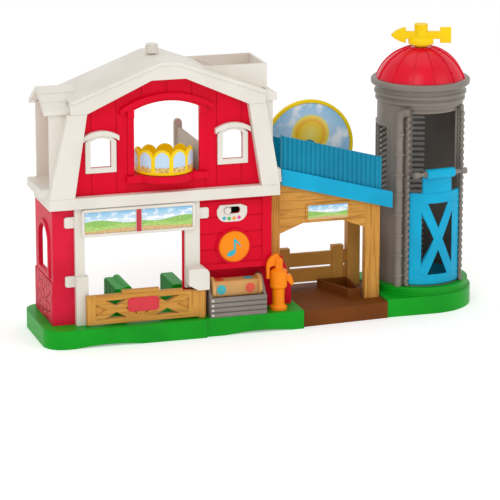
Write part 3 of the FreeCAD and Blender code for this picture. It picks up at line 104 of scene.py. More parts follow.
def soft_edges(tree, radius_mm):
    """Rounded-edge normal of a moulding, and a mask that is 1 where an edge is rounded.

    The mask grows as the cosine between the rounded and the flat normal falls.
    """
    bevel = node(tree, "Bevel", {"Radius": radius_mm * MM}, samples=6)
    flat = node(tree, "NewGeometry", pick="Normal")
    alike = node(tree, "VectorMath", {0: bevel, 1: flat}, pick="Value", operation="DOT_PRODUCT")
    mask = node(tree, "MapRange", {"Value": alike, "From Min": 0.995, "From Max": 0.85})
    return bevel, mask


def between(tree, value, low, high):
    """1 where value lies between low and high, in millimetres, with a crisp edge."""
    over = node(tree, "Math", {0: value, 1: low * MM}, operation="GREATER_THAN")
    under = node(tree, "Math", {0: value, 1: high * MM}, operation="LESS_THAN")
    return node(tree, "Math", {0: over, 1: under}, operation="MULTIPLY")


# Moulded plastic

MELT_CLOUD = 45 * MM  # patches of uneven colour where the melt cooled
EDGE_PATCH = 3 * MM  # patches of paler colour along edges: handling wear, and a painted highlight on the rounding
SPARK_GRIT = 0.55 * MM  # grit of the spark-eroded mould, coarser than the real one so that it shows
GRIT_DEEP = 0.08 * MM
ABS_IOR = 1.53


def moulded(name, base, deep, pale, rough, edge_mm=0.8, sheen=0.18, relief=None, tint=None):
    """Injection-moulded ABS or polypropylene: a soft satin skin with fine spark-eroded grit, slightly
    uneven colour where the melt cooled, and edges that the mould rounds, painted paler in patches as handling
    wear and as a painted highlight on the rounding.

    relief adds its own height in millimetres, tint recolours the base; both are given the tree
    and the coordinates, and tint the colour so far.
    """
    material, tree, where, shader = blank(name)
    bevel, edge = soft_edges(tree, edge_mm)
    cloud = node(tree, "TexNoise", {"Vector": where, "Scale": 1 / MELT_CLOUD, "Detail": 3.0})
    body = node(tree, "ValToRGB", {"Fac": cloud}, [(0.32, linear(deep)), (0.62, linear(base))])
    if tint:
        body = tint(tree, where, body)
    edge_patch = node(tree, "TexNoise", {"Vector": where, "Scale": 1 / EDGE_PATCH, "Detail": 4.0})
    wear_and_highlight = node(tree, "Math", {0: edge, 1: edge_patch}, operation="MULTIPLY")
    wear_and_highlight = node(tree, "Math", {0: wear_and_highlight, 1: 0.5}, operation="MULTIPLY")
    # Edges go towards the pale colour in patches: partly handling wear, partly a painted highlight where the
    # rounding catches the light.
    colour = node(tree, "Mix", {"Factor": wear_and_highlight, "A": body, "B": linear(pale)},
                  pick="Result", data_type="RGBA")
    grit = node(tree, "TexNoise", {"Vector": where, "Scale": 1 / SPARK_GRIT, "Detail": 2.0})
    normal = node(tree, "Bump", {"Height": grit, "Normal": bevel, "Strength": 0.16, "Distance": GRIT_DEEP})
    if relief:
        normal = node(tree, "Bump", {"Height": relief(tree, where), "Normal": normal,
                                     "Strength": 1.0, "Distance": MM})
    gloss = node(tree, "MapRange", {"Value": cloud, "To Min": rough - 0.05, "To Max": rough + 0.07})
    connect(tree, shader, {"Base Color": colour, "Normal": normal, "IOR": ABS_IOR,
                           "Roughness": gloss, "Specular IOR Level": sheen})
    return material


# Reliefs

STONE = 9 * MM
STONE_PROUD = 1.7  # in millimetres, as every relief
STONES_FOOT, STONES_HEAD = 17.5, 55.5
GRAIN = 1.7 * MM
GRAIN_DEEP = 0.35
CLOD = 7 * MM
CLOD_HIGH = 1.1


def rubble(tree, where):
    """Moulded stones about 9 mm across with narrow joints, only on the wall's lower side."""
    height = node(tree, "SeparateXYZ", {0: where}, pick=Z)
    bent = node(tree, "Mapping", {"Vector": where, "Scale": (1.0, 0.7, 1.0)})
    joint = node(tree, "TexVoronoi", {"Vector": bent, "Scale": 1 / STONE}, feature="DISTANCE_TO_EDGE")
    stone = node(tree, "MapRange", {"Value": joint, "From Max": 0.13, "To Max": STONE_PROUD})
    side = node(tree, "SeparateXYZ", {0: node(tree, "NewGeometry", pick="Normal")})
    outside = node(tree, "Math", {0: side, 1: -0.7}, operation="LESS_THAN")
    low = between(tree, height, STONES_FOOT, STONES_HEAD)
    here = node(tree, "Math", {0: outside, 1: low}, operation="MULTIPLY")
    return node(tree, "Math", {0: stone, 1: here}, operation="MULTIPLY")


def grain_lines(tree, where, standing):
    """Wood figure: noise stretched 25 to 1 along the board, upright where standing is 1."""
    along = node(tree, "Mapping", {"Vector": where, "Scale": (0.04, 0.5, 1.0)})
    up = node(tree, "Mapping", {"Vector": where, "Scale": (1.0, 0.5, 0.04)})
    way = node(tree, "Mix", {"Factor": standing, "A": along, "B": up}, pick="Result", data_type="VECTOR")
    return node(tree, "TexNoise", {"Vector": way, "Scale": 1 / GRAIN, "Detail": 4.0, "Distortion": 0.6})


def timber(name, base, deep, pale, dark, uprights):
    """ABS moulded to look like sawn pine: warm satin skin, brown figure along each member.

    uprights are two spans in X, in millimetres of the part, whose grain stands upright.
    """
    def lines(tree, where):
        x = node(tree, "SeparateXYZ", {0: where})
        masks = [between(tree, x, low, high) for low, high in uprights]
        standing = node(tree, "Math", {0: masks[0], 1: masks[1]}, operation="MAXIMUM")
        return grain_lines(tree, where, standing)

    def figure(tree, where, body):
        streak = node(tree, "ValToRGB", {"Fac": lines(tree, where)}, [(0.36, grey(0.6)), (0.5, grey(0.0))])
        return node(tree, "Mix", {"Factor": streak, "A": body, "B": linear(dark)},
                    pick="Result", data_type="RGBA")

    def cut_lines(tree, where):
        return node(tree, "MapRange", {"Value": lines(tree, where), "From Min": 0.3, "From Max": 0.5,
                                       "To Min": -GRAIN_DEEP, "To Max": 0.0})

    return moulded(name, base, deep, pale, 0.5, relief=cut_lines, tint=figure)


def clods(tree, where):
    """Trodden earth: soft lumps some 7 mm across."""
    lump = node(tree, "TexNoise", {"Vector": where, "Scale": 1 / CLOD, "Detail": 3.0})
    return node(tree, "MapRange", {"Value": lump, "To Max": CLOD_HIGH})


# Steel

DRAW_LINE = 0.4 * MM  # draw lines, coarser than the real ones so that they show
DRAW_DEEP = 0.04 * MM


def drawn_steel(name):
    """Plain drawn steel wire: grey metal with fine lengthwise draw lines."""
    material, tree, where, shader = blank(name)
    long = node(tree, "Mapping", {"Vector": where, "Scale": (1.0, 1.0, 0.03)})
    lines = node(tree, "TexNoise", {"Vector": long, "Scale": 1 / DRAW_LINE, "Detail": 2.0})
    rough = node(tree, "MapRange", {"Value": lines, "To Min": 0.24, "To Max": 0.42})
    bump = node(tree, "Bump", {"Height": lines, "Strength": 0.2, "Distance": DRAW_DEEP})
    connect(tree, shader, {"Base Color": linear("#B9BABD"), "Metallic": 1.0, "Roughness": rough,
                           "Normal": bump})
    return material


# Materials of the record's slots, and of single nodes and new pieces

GATE_UPRIGHTS = ((-171.5, -163.1), (-77.5, -60.0))
LEAN_TO_POSTS = ((6.0, 15.5), (97.5, 112.0))

looks = {
    "red_plastic": moulded("moulded red ABS", "#E2002A", "#D60026", "#F02048", 0.42, sheen=0.1),
    "dome_plastic": moulded("polished red ABS", "#EA002C", "#DA0026", "#F2284A", 0.26, sheen=0.22),
    "ivory_plastic": moulded("moulded ivory ABS", "#E8E3D9", "#E0DACE", "#F2EEE6", 0.45),
    "green_plastic": moulded("moulded green ABS", "#00A018", "#009014", "#2CB83E", 0.4, edge_mm=2.0),
    "mud_plastic": moulded("moulded brown polypropylene earth", "#743C06", "#5E2E02", "#905A24", 0.6,
                           relief=clods),
    "timber_plastic": timber("sawn pine look ABS", "#D89C48", "#CA8C38", "#E6B675", "#A8722C",
                             GATE_UPRIGHTS),
    "silo_plastic": moulded("moulded grey ABS", "#8A8178", "#7C736A", "#A8A097", 0.38, sheen=0.3),
    "crate_plastic": moulded("moulded stone grey ABS", "#8E857E", "#7C736C", "#ACA49D", 0.46),
    "tan_plastic": moulded("moulded tan ABS", "#D9A86C", "#C8934F", "#E8C290", 0.46),
    "orange_plastic": moulded("moulded orange ABS", "#FF8E08", "#F88000", "#FFAE48", 0.34),
    "yellow_plastic": moulded("moulded yellow ABS", "#FFDC00", "#F8D000", "#FFEA60", 0.36),
    # This teal is the sky blue plastic below darkened by about a fifth: painted shade for the ribbed sheet
    # that lies in shade behind the blue front wall.
    "teal_plastic": moulded("sky blue ABS darkened into painted shade", "#0090B2", "#0082A4", "#30A6C2", 0.42),
    "blue_plastic": moulded("moulded sky blue ABS", "#00B0DA", "#009EC8", "#48CCEA", 0.38),
    "dark_plastic": moulded("moulded black ABS", "#2A2A2C", "#202022", "#4A4A4D", 0.5),
    "board": moulded("lacquered circuit board", "#1F7A45", "#16683A", "#4E9B6D", 0.36),
    "plain_steel": drawn_steel("drawn steel"),
}
wall_stone = moulded("moulded red ABS with stones", "#E0123A", "#CE0630", "#F04A6A", 0.44, relief=rubble)
lean_to_timber = timber("sawn pine look ABS posts", "#D69A46", "#C88A36", "#E4B270", "#A06A26",
                        LEAN_TO_POSTS)
fence_brown = moulded("moulded light brown polypropylene", "#D29A4A", "#C48A3A", "#E0B270", 0.55)
chute_grey = moulded("moulded pale grey ABS", "#CFCBC4", "#C2BDB5", "#DDDAD4", 0.46)
nail_white = moulded("painted nail heads", "#E9E6E0", "#DAD6CE", "#FFFFFF", 0.4)
own_look = {"left_wall": wall_stone, "leanto_frame": lean_to_timber, "rail_fence": fence_brown}
for part in frame["record"]["subparts"]:
    mesh = nodes[part["node"]].data
    mesh.materials.clear()
    mesh.materials.append(own_look.get(part["node"], looks[part["material_slot"]]))

ivory = "ivory_plastic"


# Printed labels

PAPER_TOOTH = 0.5 * MM  # coarser than the real tooth so that it shows
TOOTH_DEEP = 0.03 * MM
INK_ROLL = 4 * MM
SKY_REACH = 38.5 * MM  # where the round sky is bluest
SKY_CLOUD = 17 * MM
RINGS_RIGHT, RINGS_UP = 1.9 * MM, 10.5 * MM  # middle of the yellow rings, from the disc's middle
STRAW = 1.6 * MM
STRAW_LEVEL, STRAW_SWAY = 160.5 * MM, 6 * MM


def printed(name, paint, gloss=0.32):
    """Coated paper label: flat ink under a thin clear film, with a faint paper tooth.

    paint takes (tree, where) and gives the ink's colour.
    """
    material, tree, where, shader = blank(name)
    tooth = node(tree, "TexNoise", {"Vector": where, "Scale": 1 / PAPER_TOOTH, "Detail": 2.0})
    bump = node(tree, "Bump", {"Height": tooth, "Strength": 0.06, "Distance": TOOTH_DEEP})
    rough = node(tree, "MapRange", {"Value": tooth, "To Min": gloss - 0.04, "To Max": gloss + 0.06})
    connect(tree, shader, {"Base Color": paint(tree, where), "Normal": bump, "Coat Weight": 0.25,
                           "Roughness": rough})
    return material


def clouded(tree, sky, where, scale, detail, full):
    """Lays soft white clouds over a sky: noise that turns from clear at 0.5 to white at full."""
    puff = node(tree, "TexNoise", {"Vector": where, "Scale": scale, "Detail": detail})
    cloud = node(tree, "ValToRGB", {"Fac": puff}, [(0.5, grey(0.0)), full])
    return node(tree, "Mix", {"Factor": cloud, "A": sky, "B": linear("#FFFFFF")},
                pick="Result", data_type="RGBA")


def meadow(x0, z0, x1, z1, phase):
    """Paints a plain meadow: sky paling downwards, soft clouds, two sine hills and a lane.

    x0, z0 and x1, z1 are the label's corners in the barn's millimetres.
    """
    x, z = (x0 - MIDDLE[0]) * MM, z0 * MM
    wide, high = (x1 - x0) * MM, (z1 - z0) * MM

    def paint(tree, where):
        unit = node(tree, "Mapping", {"Vector": where, "Location": (-x / wide, 0.0, -z / high),
                                      "Scale": (1 / wide, 0.0, 1 / high)})
        u, v = [node(tree, "SeparateXYZ", {0: unit}, pick=axis) for axis in (X, Z)]
        sky = node(tree, "ValToRGB", {"Fac": v}, [(0.35, linear("#E9F4FA")), (1.0, linear("#7DBFE6"))])
        colour = clouded(tree, sky, unit, 4.5, 3.0, (0.62, grey(0.9)))
        speck = node(tree, "TexNoise", {"Vector": unit, "Scale": 22.0, "Detail": 2.0})
        for level, swing, turns, shift, dark, light in (
                (0.52, 0.09, 5.0, phase, "#6FAF4A", "#A9D368"),
                (0.34, 0.06, 7.5, phase + 2.0, "#8CC152", "#C3DE7E"),
                (0.16, 0.04, 4.0, phase + 4.0, "#C79A5B", "#E3C48C")):
            angle = node(tree, "Math", {0: u, 1: turns, 2: shift}, operation="MULTIPLY_ADD")
            wave = node(tree, "Math", {0: angle}, operation="SINE")
            edge = node(tree, "Math", {0: wave, 1: swing, 2: level}, operation="MULTIPLY_ADD")
            below = node(tree, "Math", {0: v, 1: edge}, operation="LESS_THAN")
            ground = node(tree, "ValToRGB", {"Fac": speck}, [(0.35, linear(dark)), (0.65, linear(light))])
            colour = node(tree, "Mix", {"Factor": below, "A": colour, "B": ground},
                          pick="Result", data_type="RGBA")
        return colour
    return paint


def sky_rings(x, z):
    """Paints a round sky about x, z: blue paling inwards, clouds, and plain yellow rings above."""
    def paint(tree, where):
        places, shares = [], []
        for right, up in ((0.0, 0.0), (RINGS_RIGHT, RINGS_UP)):
            place = node(tree, "Mapping", {"Vector": where, "Location": (-x - right, 0.0, -z - up),
                                           "Scale": (1.0, 0.0, 1.0)})
            far = node(tree, "VectorMath", {0: place}, pick="Value", operation="LENGTH")
            places.append(place)
            shares.append(node(tree, "MapRange", {"Value": far, "From Max": SKY_REACH}))
        sky = node(tree, "ValToRGB", {"Fac": shares[0]},
                   [(0.3, linear("#DCEFFA")), (1.0, linear("#93C8EC"))])
        colour = clouded(tree, sky, places[0], 1 / SKY_CLOUD, 4.0, (0.66, grey(0.95)))
        rings = node(tree, "ValToRGB", {"Fac": shares[1]},
                     [(0.0, linear("#FFE978")), (0.3, linear("#FFD21E")),
                      (0.34, linear("#FFB60A")), (0.43, linear("#FFE35A"))])
        inside = node(tree, "Math", {0: shares[1], 1: 0.47}, operation="LESS_THAN")
        return node(tree, "Mix", {"Factor": inside, "A": colour, "B": rings},
                    pick="Result", data_type="RGBA")
    return paint


def straw_print(tree, where):
    """Paints pale sky over scattered straw, split at a level by noise."""
    z = node(tree, "SeparateXYZ", {0: where}, pick=Z)
    speck = node(tree, "TexNoise", {"Vector": where, "Scale": 1 / STRAW, "Detail": 3.0})
    sway = node(tree, "Math", {0: speck, 1: STRAW_SWAY, 2: z}, operation="MULTIPLY_ADD")
    straw = node(tree, "ValToRGB", {"Fac": speck}, [(0.38, linear("#B9822F")), (0.6, linear("#F1D179"))])
    low = node(tree, "Math", {0: sway, 1: STRAW_LEVEL}, operation="LESS_THAN")
    return node(tree, "Mix", {"Factor": low, "A": linear("#BFD8EE"), "B": straw},
                pick="Result", data_type="RGBA")


def ink(text):
    """Paints one ink, a little uneven as rolled ink is."""
    base = np.array(linear(text))
    thin = base * [0.92, 0.92, 0.92, 1]

    def paint(tree, where):
        roll = node(tree, "TexNoise", {"Vector": where, "Scale": 1 / INK_ROLL, "Detail": 2.0})
        return node(tree, "ValToRGB", {"Fac": roll}, [(0.3, thin.tolist()), (0.65, base.tolist())])
    return paint


# Surfaces, each a pair of points and faces


def add_piece(name, surface, slot, body="barn", look=None, smooth=False):
    """Puts a surface, in the barn's millimetres, into a mesh that rides on body.

    It has its slot's look unless it is given one.
    """
    points, faces = surface
    mesh = bpy.data.meshes.new(name)
    mesh.from_pydata(((points - MIDDLE) * MM).tolist(), [], [list(face) for face in faces])
    mesh.polygons.foreach_set("use_smooth", np.full(len(faces), smooth))
    mesh.materials.append(look or looks[slot])
    mesh.update()
    made = bpy.data.objects.new(name, mesh)
    bpy.context.scene.collection.objects.link(made)
    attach(made, body)
    return made


def placed(*sides):
    """Points from their coordinates, each an array or a number that serves them all."""
    return np.stack(np.broadcast_arrays(*sides), -1)


def filled(front, back):
    """Closed solid between two grids of points of one shape: both, and the four strips between.

    front runs so that its normal points away from back.
    """
    rows, columns = front.shape[:2]
    points = np.concatenate([front.reshape(-1, 3), back.reshape(-1, 3)])
    place = np.arange(rows * columns).reshape(rows, columns)
    quads = np.stack([place[:-1, :-1], place[:-1, 1:], place[1:, 1:], place[1:, :-1]], -1).reshape(-1, 4)
    rim = np.concatenate([place[0, :-1], place[:-1, -1], place[-1, :0:-1], place[:0:-1, 0]])
    after = np.roll(rim, -1)
    count = rows * columns
    sides = np.stack([after, rim, rim + count, after + count], -1)
    return points, np.concatenate([quads, quads[:, ::-1] + count, sides])


def together(parts):
    """Joins surfaces into one, each list of faces moved past the earlier points."""
    points, faces = zip(*parts)
    starts = np.cumsum([0] + [len(some) for some in points])
    return np.concatenate(points), np.concatenate([some + start for some, start in zip(faces, starts)])


def unit_grid(rows, columns):
    """Two parameters from -1 to 1, as arrays of rows by columns."""
    v, u = np.meshgrid(np.linspace(-1, 1, rows), np.linspace(-1, 1, columns), indexing="ij")
    return u, v


def round_square(u, v):
    """Maps the square -1 to 1 onto the unit disc: each side shrinks by the other's half square."""
    return u * np.sqrt(1 - v ** 2 / 2), v * np.sqrt(1 - u ** 2 / 2)


def corner_share(u, v, aspect, corner):
    """Maps the square onto a rounded rectangle: points near a corner go towards its disc."""
    a, b = round_square(u, v)
    blend = np.clip(np.abs(u * v), 0, 1) ** 6
    pull = corner / np.array([aspect, 1.0])
    return u + (a - u) * blend * pull[0], v + (b - v) * blend * pull[1]


def plate(x0, z0, x1, z1, y, thick, corner=0.0):
    """Front-facing plate between x0, z0 and x1, z1, its face at y, with rounded corners."""
    u, v = unit_grid(13, 25)
    if corner:
        u, v = corner_share(u, v, (x1 - x0) / (z1 - z0), corner)
    front = placed((x0 + x1) / 2 + u * (x1 - x0) / 2, y, (z0 + z1) / 2 + v * (z1 - z0) / 2)
    return filled(front, front + [0.0, thick, 0.0])


def disc(centre, across, over, push, size=17):
    """Plate of an ellipse: the disc of the unit square, carried on two half axes."""
    u, v = round_square(*unit_grid(size, size))
    front = centre + u[..., None] * across + v[..., None] * over
    return filled(front, front + push)


def ribbon(first, second, low, high, axis):
    """Closed strip between two outlines drawn across an axis, from low to high along it.

    Both outlines have as many points and run the same way, first below or before second.
    """
    flat = np.array([first, second], float)
    near, far = (low, high) if axis == Y else (high, low)
    return filled(np.insert(flat, axis, near, axis=2), np.insert(flat, axis, far, axis=2))


def ring(loops):
    """Closed ring: loops of points, each closed in itself, joined one to the next and back."""
    loops = np.asarray(loops, float)
    place = np.arange(loops.shape[0] * loops.shape[1]).reshape(loops.shape[:2])
    on = np.roll(place, -1, 1)
    faces = np.stack([place, on, np.roll(on, -1, 0), np.roll(place, -1, 0)], -1).reshape(-1, 4)
    return loops.reshape(-1, 3), faces


def turned(surface, degrees, centre):
    """Turns a surface about the upright axis through the origin, then moves it to centre."""
    points, faces = surface
    c, s = math.cos(math.radians(degrees)), math.sin(math.radians(degrees))
    return points @ np.array([[c, s, 0], [-s, c, 0], [0, 0, 1]]) + centre, faces


def outward(angle):
    """Level unit vectors at angles from +X, in radians."""
    return placed(np.cos(angle), np.sin(angle), 0.0)


def both_sides(outline):
    """An outline in X and Z, and the same one on the other side of the barn's centreline."""
    return outline, outline[::-1] * [-1, 1]


def low_arch(x, half, spring, rise):
    """Height of a circle's arc that stands rise above spring in the middle and meets it at half."""
    bend = (half ** 2 + rise ** 2) / (2 * rise)
    return spring + rise - bend + np.sqrt(bend ** 2 - np.clip(np.abs(x), 0, half) ** 2)


def arched_bar(centre, half, spring, rise, thick, steps):
    """Bar along a low arc in the front, as deep as it is thick."""
    x = np.linspace(-half, half, steps)
    lower = placed(x + centre, low_arch(x, half, spring, rise))
    return ribbon(lower, lower + [0.0, thick], -thick, 0.0, Y)


# Upper front

RIDGE_FLAT = 15.5  # half of the level stretch under the ridge
WINDOW = 60.5  # middle of each window, from the centreline


def board_top(x):
    """Lower edge of the roof's front board: level in the middle, then a straight slope to the leg."""
    ridge, fall = 235.6, 0.453
    return ridge - np.clip(np.abs(x) - RIDGE_FLAT, 0, None) * fall


def upper_boards():
    """Upright boards, 0.5 mm proud and 0.7 mm apart, round the opening and the windows."""
    pitch, gap, proud, steps = 23.0, 0.7, 0.5, 12
    left = pitch * np.arange(4) + gap / 2
    right = left + pitch - gap
    foot, sill, lintel, cap = 134.2, 154.6, 186.0, 190.0
    arch_end, window_edge = 36.0, 74.4
    leg_at_foot, leg_at_sill, leg_at_cap, leg_at_head = 85.8, 82.5, 76.9, 74.2
    arch_half, arch_spring, arch_rise, arch_clear = 30.0, 209.0, 6.8, 1.5
    parts = []
    for start, end_below, end_above, low, high in (
            (left[0], right[0], right[0], "arch", "board"),
            (left[1], arch_end, arch_end, "arch", "board"),
            (arch_end, right[1], right[1], foot, "board"),
            (left[2], right[2], right[2], foot, sill),
            (left[2], right[2], right[2], lintel, "board"),
            (left[3], leg_at_foot, leg_at_sill, foot, sill),
            (window_edge, leg_at_sill, leg_at_cap, sill, cap),
            (left[3], leg_at_cap, leg_at_head, cap, "board")):
        x = np.linspace(start, end_below, steps)
        z = low_arch(x, arch_half, arch_spring, arch_rise) + arch_clear if low == "arch" else low
        below = placed(x, z)
        x = np.linspace(start, end_above, steps)
        z = board_top(x) if high == "board" else high
        above = placed(x, z)
        for lower, upper in zip(both_sides(below), both_sides(above)):
            parts.append(ribbon(lower, upper, -proud, 0.0, Y))
    return together(parts)


def hood_and_ledge():
    """Bowed bar over the opening, a low arc 86 mm wide, and a plain ledge under it."""
    hood = arched_bar(centre=0.0, half=43.0, spring=205.4, rise=12.6, thick=4.8, steps=41)
    half, foot, head, deep = 37.5, 143.6, 150.0, 5.0
    return together([hood, plate(-half, foot, half, head, -deep, deep, corner=0.3)])


def window_frame(centre):
    """Window frame with a straight foot, and an arched cap that stands out over its head."""
    spring, deep = 182.5, 2.4
    outer, inner = (14.0, 154.4, 6.4), (9.4, 159.0, 3.2)  # half width, foot and rise of the head
    u = np.linspace(-1, 1, 15)
    loops = []
    for (half, foot, rise), y in ((outer, 0.0), (outer, -deep), (inner, -deep), (inner, 0.0)):
        x = np.concatenate([[-half, half], half * u[::-1]])
        z = np.concatenate([[foot, foot], low_arch(half * u, half, spring, rise)])
        loops.append(placed(x + centre, y, z))
    cap = arched_bar(centre, half=16.4, spring=183.0, rise=5.0, thick=4.4, steps=len(u))
    return together([ring(loops), cap])


add_piece("upper_front_boards", upper_boards(), "red_plastic")
add_piece("loft_hood_and_ledge", hood_and_ledge(), "red_plastic")
for side, centre in (("left", -WINDOW), ("right", WINDOW)):
    made = add_piece("window_frame_" + side, window_frame(centre), ivory)
    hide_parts("window_trim_" + side)


# Roof and the flared legs below it

ROOF_TOP, ROOF_FLAT, ROOF_FALL = 251.5, 8.0, 0.3765  # ridge, half of its level stretch, slope beyond
ROOF_HALF, ROOF_BACK = 89.0, 58.0
BARN_BACK = 53.0
GABLE_FRONT = -3.0
HOPPER_FRONT, HOPPER_WALL = 7.0, 2.4
HOPPER_NEAR, HOPPER_FAR = HOPPER_FRONT + HOPPER_WALL, ROOF_BACK - HOPPER_WALL  # faces inside it


def roof_line(x):
    """Upper edge of the roof: level for 8 mm each side of the middle, then a straight slope."""
    return ROOF_TOP - np.clip(np.abs(x) - ROOF_FLAT, 0, None) * ROOF_FALL


def roof_front():
    """Front board, level below at the ridge and at the eaves, with a raised lip along its top."""
    leg, under_ridge, under_eave = 74.0, 235.8, 209.3
    deep, lip_deep, lip_high, lip_over = 9.0, 1.0, 3.4, 0.3
    half = np.array([ROOF_FLAT, RIDGE_FLAT, leg, ROOF_HALF])
    x = np.concatenate([-half[::-1], half])
    top = placed(x, roof_line(x))
    under = placed(x, np.where(np.abs(x) > RIDGE_FLAT, under_eave, under_ridge))
    lip = ribbon(top - [0, lip_high], top + [0, lip_over], -deep - lip_deep, -deep, Y)
    return together([ribbon(under, top, -deep, 0.0, Y), lip])


def roof_slopes():
    """Thin slopes behind the front board, open under the hopper."""
    thick, opening = 2.6, 42.0
    parts = []
    for x0, x1, y0, y1 in ((-ROOF_HALF, opening, 0.0, ROOF_BACK), (opening, ROOF_HALF, 0.0, HOPPER_NEAR),
                           (opening, ROOF_HALF, HOPPER_FAR, ROOF_BACK)):
        x = np.unique(np.concatenate([[x0, x1], np.clip([-ROOF_FLAT, ROOF_FLAT], x0, x1)]))
        skin = placed(x, roof_line(x))
        parts.append(ribbon(skin - [0, thick], skin, y0, y1, Y))
    return together(parts)


def shingled_gable():
    """Left gable's roof: each slope rises in three steps, the back one mirrors the front one."""
    left, right, foot, rise, thick = -111.5, -78.0, 212.0, 17.5, 3.4
    step_high, step_low, steps = 1.5, 0.2, 3
    share = np.repeat(np.linspace(0, 1, steps + 1), 2)[1:-1]
    run = BARN_BACK / 2 - GABLE_FRONT
    slope = placed(GABLE_FRONT + run * share, foot + rise * share)
    course = slope + np.outer([step_high, step_low] * steps, [0, 1])
    lower, upper = [np.concatenate([half, [BARN_BACK, 0] + half[::-1] * [-1, 1]]) for half in (slope, course)]
    return ribbon(lower - [0, thick], upper, left, right, X)


def roof_cap():
    """Flat cap on the right, which falls a little to the outside."""
    inner, outer, foot, inner_top, outer_top = 84.0, 101.5, 210.0, 221.0, 216.5
    return ribbon([(inner, foot), (outer, foot)], [(inner, inner_top), (outer, outer_top)],
                  GABLE_FRONT, BARN_BACK, Y)


def hopper_walls():
    """Open hopper: front, back and right wall, cut below along the roof's slope."""
    top, right, tip = 242.0, 95.0, 0.2
    left = ROOF_FLAT + (ROOF_TOP - top) / ROOF_FALL
    foot = roof_line(right)
    cheek = ([(left, top - tip), (right, foot)], [(left, top), (right, top)])
    end = ([(HOPPER_NEAR, foot), (HOPPER_FAR, foot)], [(HOPPER_NEAR, top), (HOPPER_FAR, top)])
    return together([ribbon(*cheek, HOPPER_FRONT, HOPPER_NEAR, Y), ribbon(*cheek, HOPPER_FAR, ROOF_BACK, Y),
                     ribbon(*end, right - HOPPER_WALL, right, X)])


def right_frame():
    """Narrow right side: front and back cheek, a threshold between and a sill block in front."""
    foot, head, cheek = 134.05, 210.0, 2.6
    inner_foot, inner_head, outer = 90.0, 78.0, 98.5
    sill_out, sill_top = 103.0, 136.0
    block_foot, block_head, block_top, block_deep = 107.0, 106.0, 146.0, 7.0
    side = ([(inner_foot, foot), (outer, foot)], [(inner_head, head), (outer, head)])
    sill = ([(inner_foot, foot), (sill_out, foot)], [(inner_foot, sill_top), (sill_out, sill_top)])
    block = ([(outer, foot), (block_foot, foot)], [(outer, block_top), (block_head, block_top)])
    return together([ribbon(*side, 0.0, cheek, Y), ribbon(*side, BARN_BACK - cheek, BARN_BACK, Y),
                     ribbon(*sill, cheek, BARN_BACK - cheek, Y), ribbon(*block, 0.0, block_deep, Y)])


def flared_legs():
    """Two flat legs under the eaves that spread towards their feet, the left one wider."""
    foot, head, deep = 134.0, 209.2, 8.2
    inner_foot, inner_head = 85.9, 73.9
    left_foot, left_head, right_foot, right_head = 109.3, 91.6, 103.0, 90.0
    left = ([(-left_foot, foot), (-inner_foot, foot)], [(-left_head, head), (-inner_head, head)])
    right = ([(inner_foot, foot), (right_foot, foot)], [(inner_head, head), (right_head, head)])
    return together([ribbon(*left, -deep, 0.0, Y), ribbon(*right, -deep, 0.0, Y)])


dressed_roof = together([roof_front(), roof_slopes(), roof_cap(), shingled_gable()])
made = add_piece("roof_dressed", dressed_roof, ivory)
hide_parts("roof_top")
made = add_piece("hopper_dressed", hopper_walls(), ivory)
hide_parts("hopper_box")
made = add_piece("right_side_dressed", right_frame(), ivory)
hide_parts("side_frame_right")
add_piece("flared_legs", flared_legs(), ivory)


# Chute and nest

NEST = np.array([0.0, 11.0, 0.0])
NEST_RADIUS, NEST_FOOT, NEST_LOBES = 26.0, 150.5, 10
NEST_TILT = 2.6  # how far the rim rises to the front and falls to the back


def chute():
    """Slanting wall whose top falls to the front, and the round-headed post at its back."""
    foot, near_top, far_top, thick = 134.1, 172.0, 181.0, 2.4
    (near_x, near_y), (far_x, far_y) = (35.4, 7.0), (24.4, 46.0)
    front = np.array([[(near_x, near_y, foot), (far_x, far_y, foot)],
                      [(near_x, near_y, near_top), (far_x, far_y, far_top)]])
    post_x, post_half, post_spring, post_back = 23.6, 3.6, 184.0, 50.0
    u = np.linspace(-1, 1, 13)
    x = post_x + post_half * u
    head = placed(x, post_spring + post_half * np.sqrt(1 - u ** 2))
    post = ribbon(placed(x, foot), head, far_y, post_back, Y)
    return together([filled(front, front - [thick, 0.0, 0.0]), post])


def nest_shell():
    """Lobed nest: 14.5 mm high in the valleys plus 6 mm times the sine's root, and taller in front."""
    valley, lobe_high, wall, floor, hole, soft = 14.5, 6.0, 2.4, 2.2, 3.05, 0.5
    angle = np.radians(np.arange(0, 360, 1.5) - 90)
    lobe = np.abs(np.sin(NEST_LOBES / 2 * (angle + math.pi / 2))) ** 0.5
    top = valley + lobe_high * lobe - NEST_TILT * np.sin(angle)
    inside = NEST_RADIUS - wall
    loops = []
    for radius, height in ((NEST_RADIUS, 0.0), (NEST_RADIUS, top - soft), (NEST_RADIUS - soft, top),
                           (inside + soft, top), (inside, top - soft), (inside, floor), (hole, floor),
                           (hole, 0.0)):
        loops.append(NEST + placed(radius * np.cos(angle), radius * np.sin(angle), NEST_FOOT + height))
    return ring(loops)


def nest_labels():
    """One label on each lobe: angle and height as parameters, its top bowed by 1 - u squared."""
    foot, low, bow, reach, face, back = 153.2, 10.6, 5.4, 13.8, 0.28, 0.02
    pitch = 360 / NEST_LOBES
    u, v = unit_grid(7, 13)
    parts = []
    for lobe in range(NEST_LOBES):
        angle = np.radians(-90 + pitch / 2 + pitch * lobe + reach * u)
        tall = low + bow * (1 - u ** 2) - NEST_TILT * np.sin(angle)
        level = NEST + (foot + (v + 1) / 2 * tall)[..., None] * UP
        out = outward(angle)
        parts.append(filled(level + out * (NEST_RADIUS + face), level + out * (NEST_RADIUS + back)))
    return together(parts)


made = add_piece("chute_dressed", chute(), "crate_plastic", look=chute_grey)
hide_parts("chute_wall")
made = add_piece("nest_dressed", nest_shell(), "yellow_plastic", "nest")
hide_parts("nest_ring")


# Silo

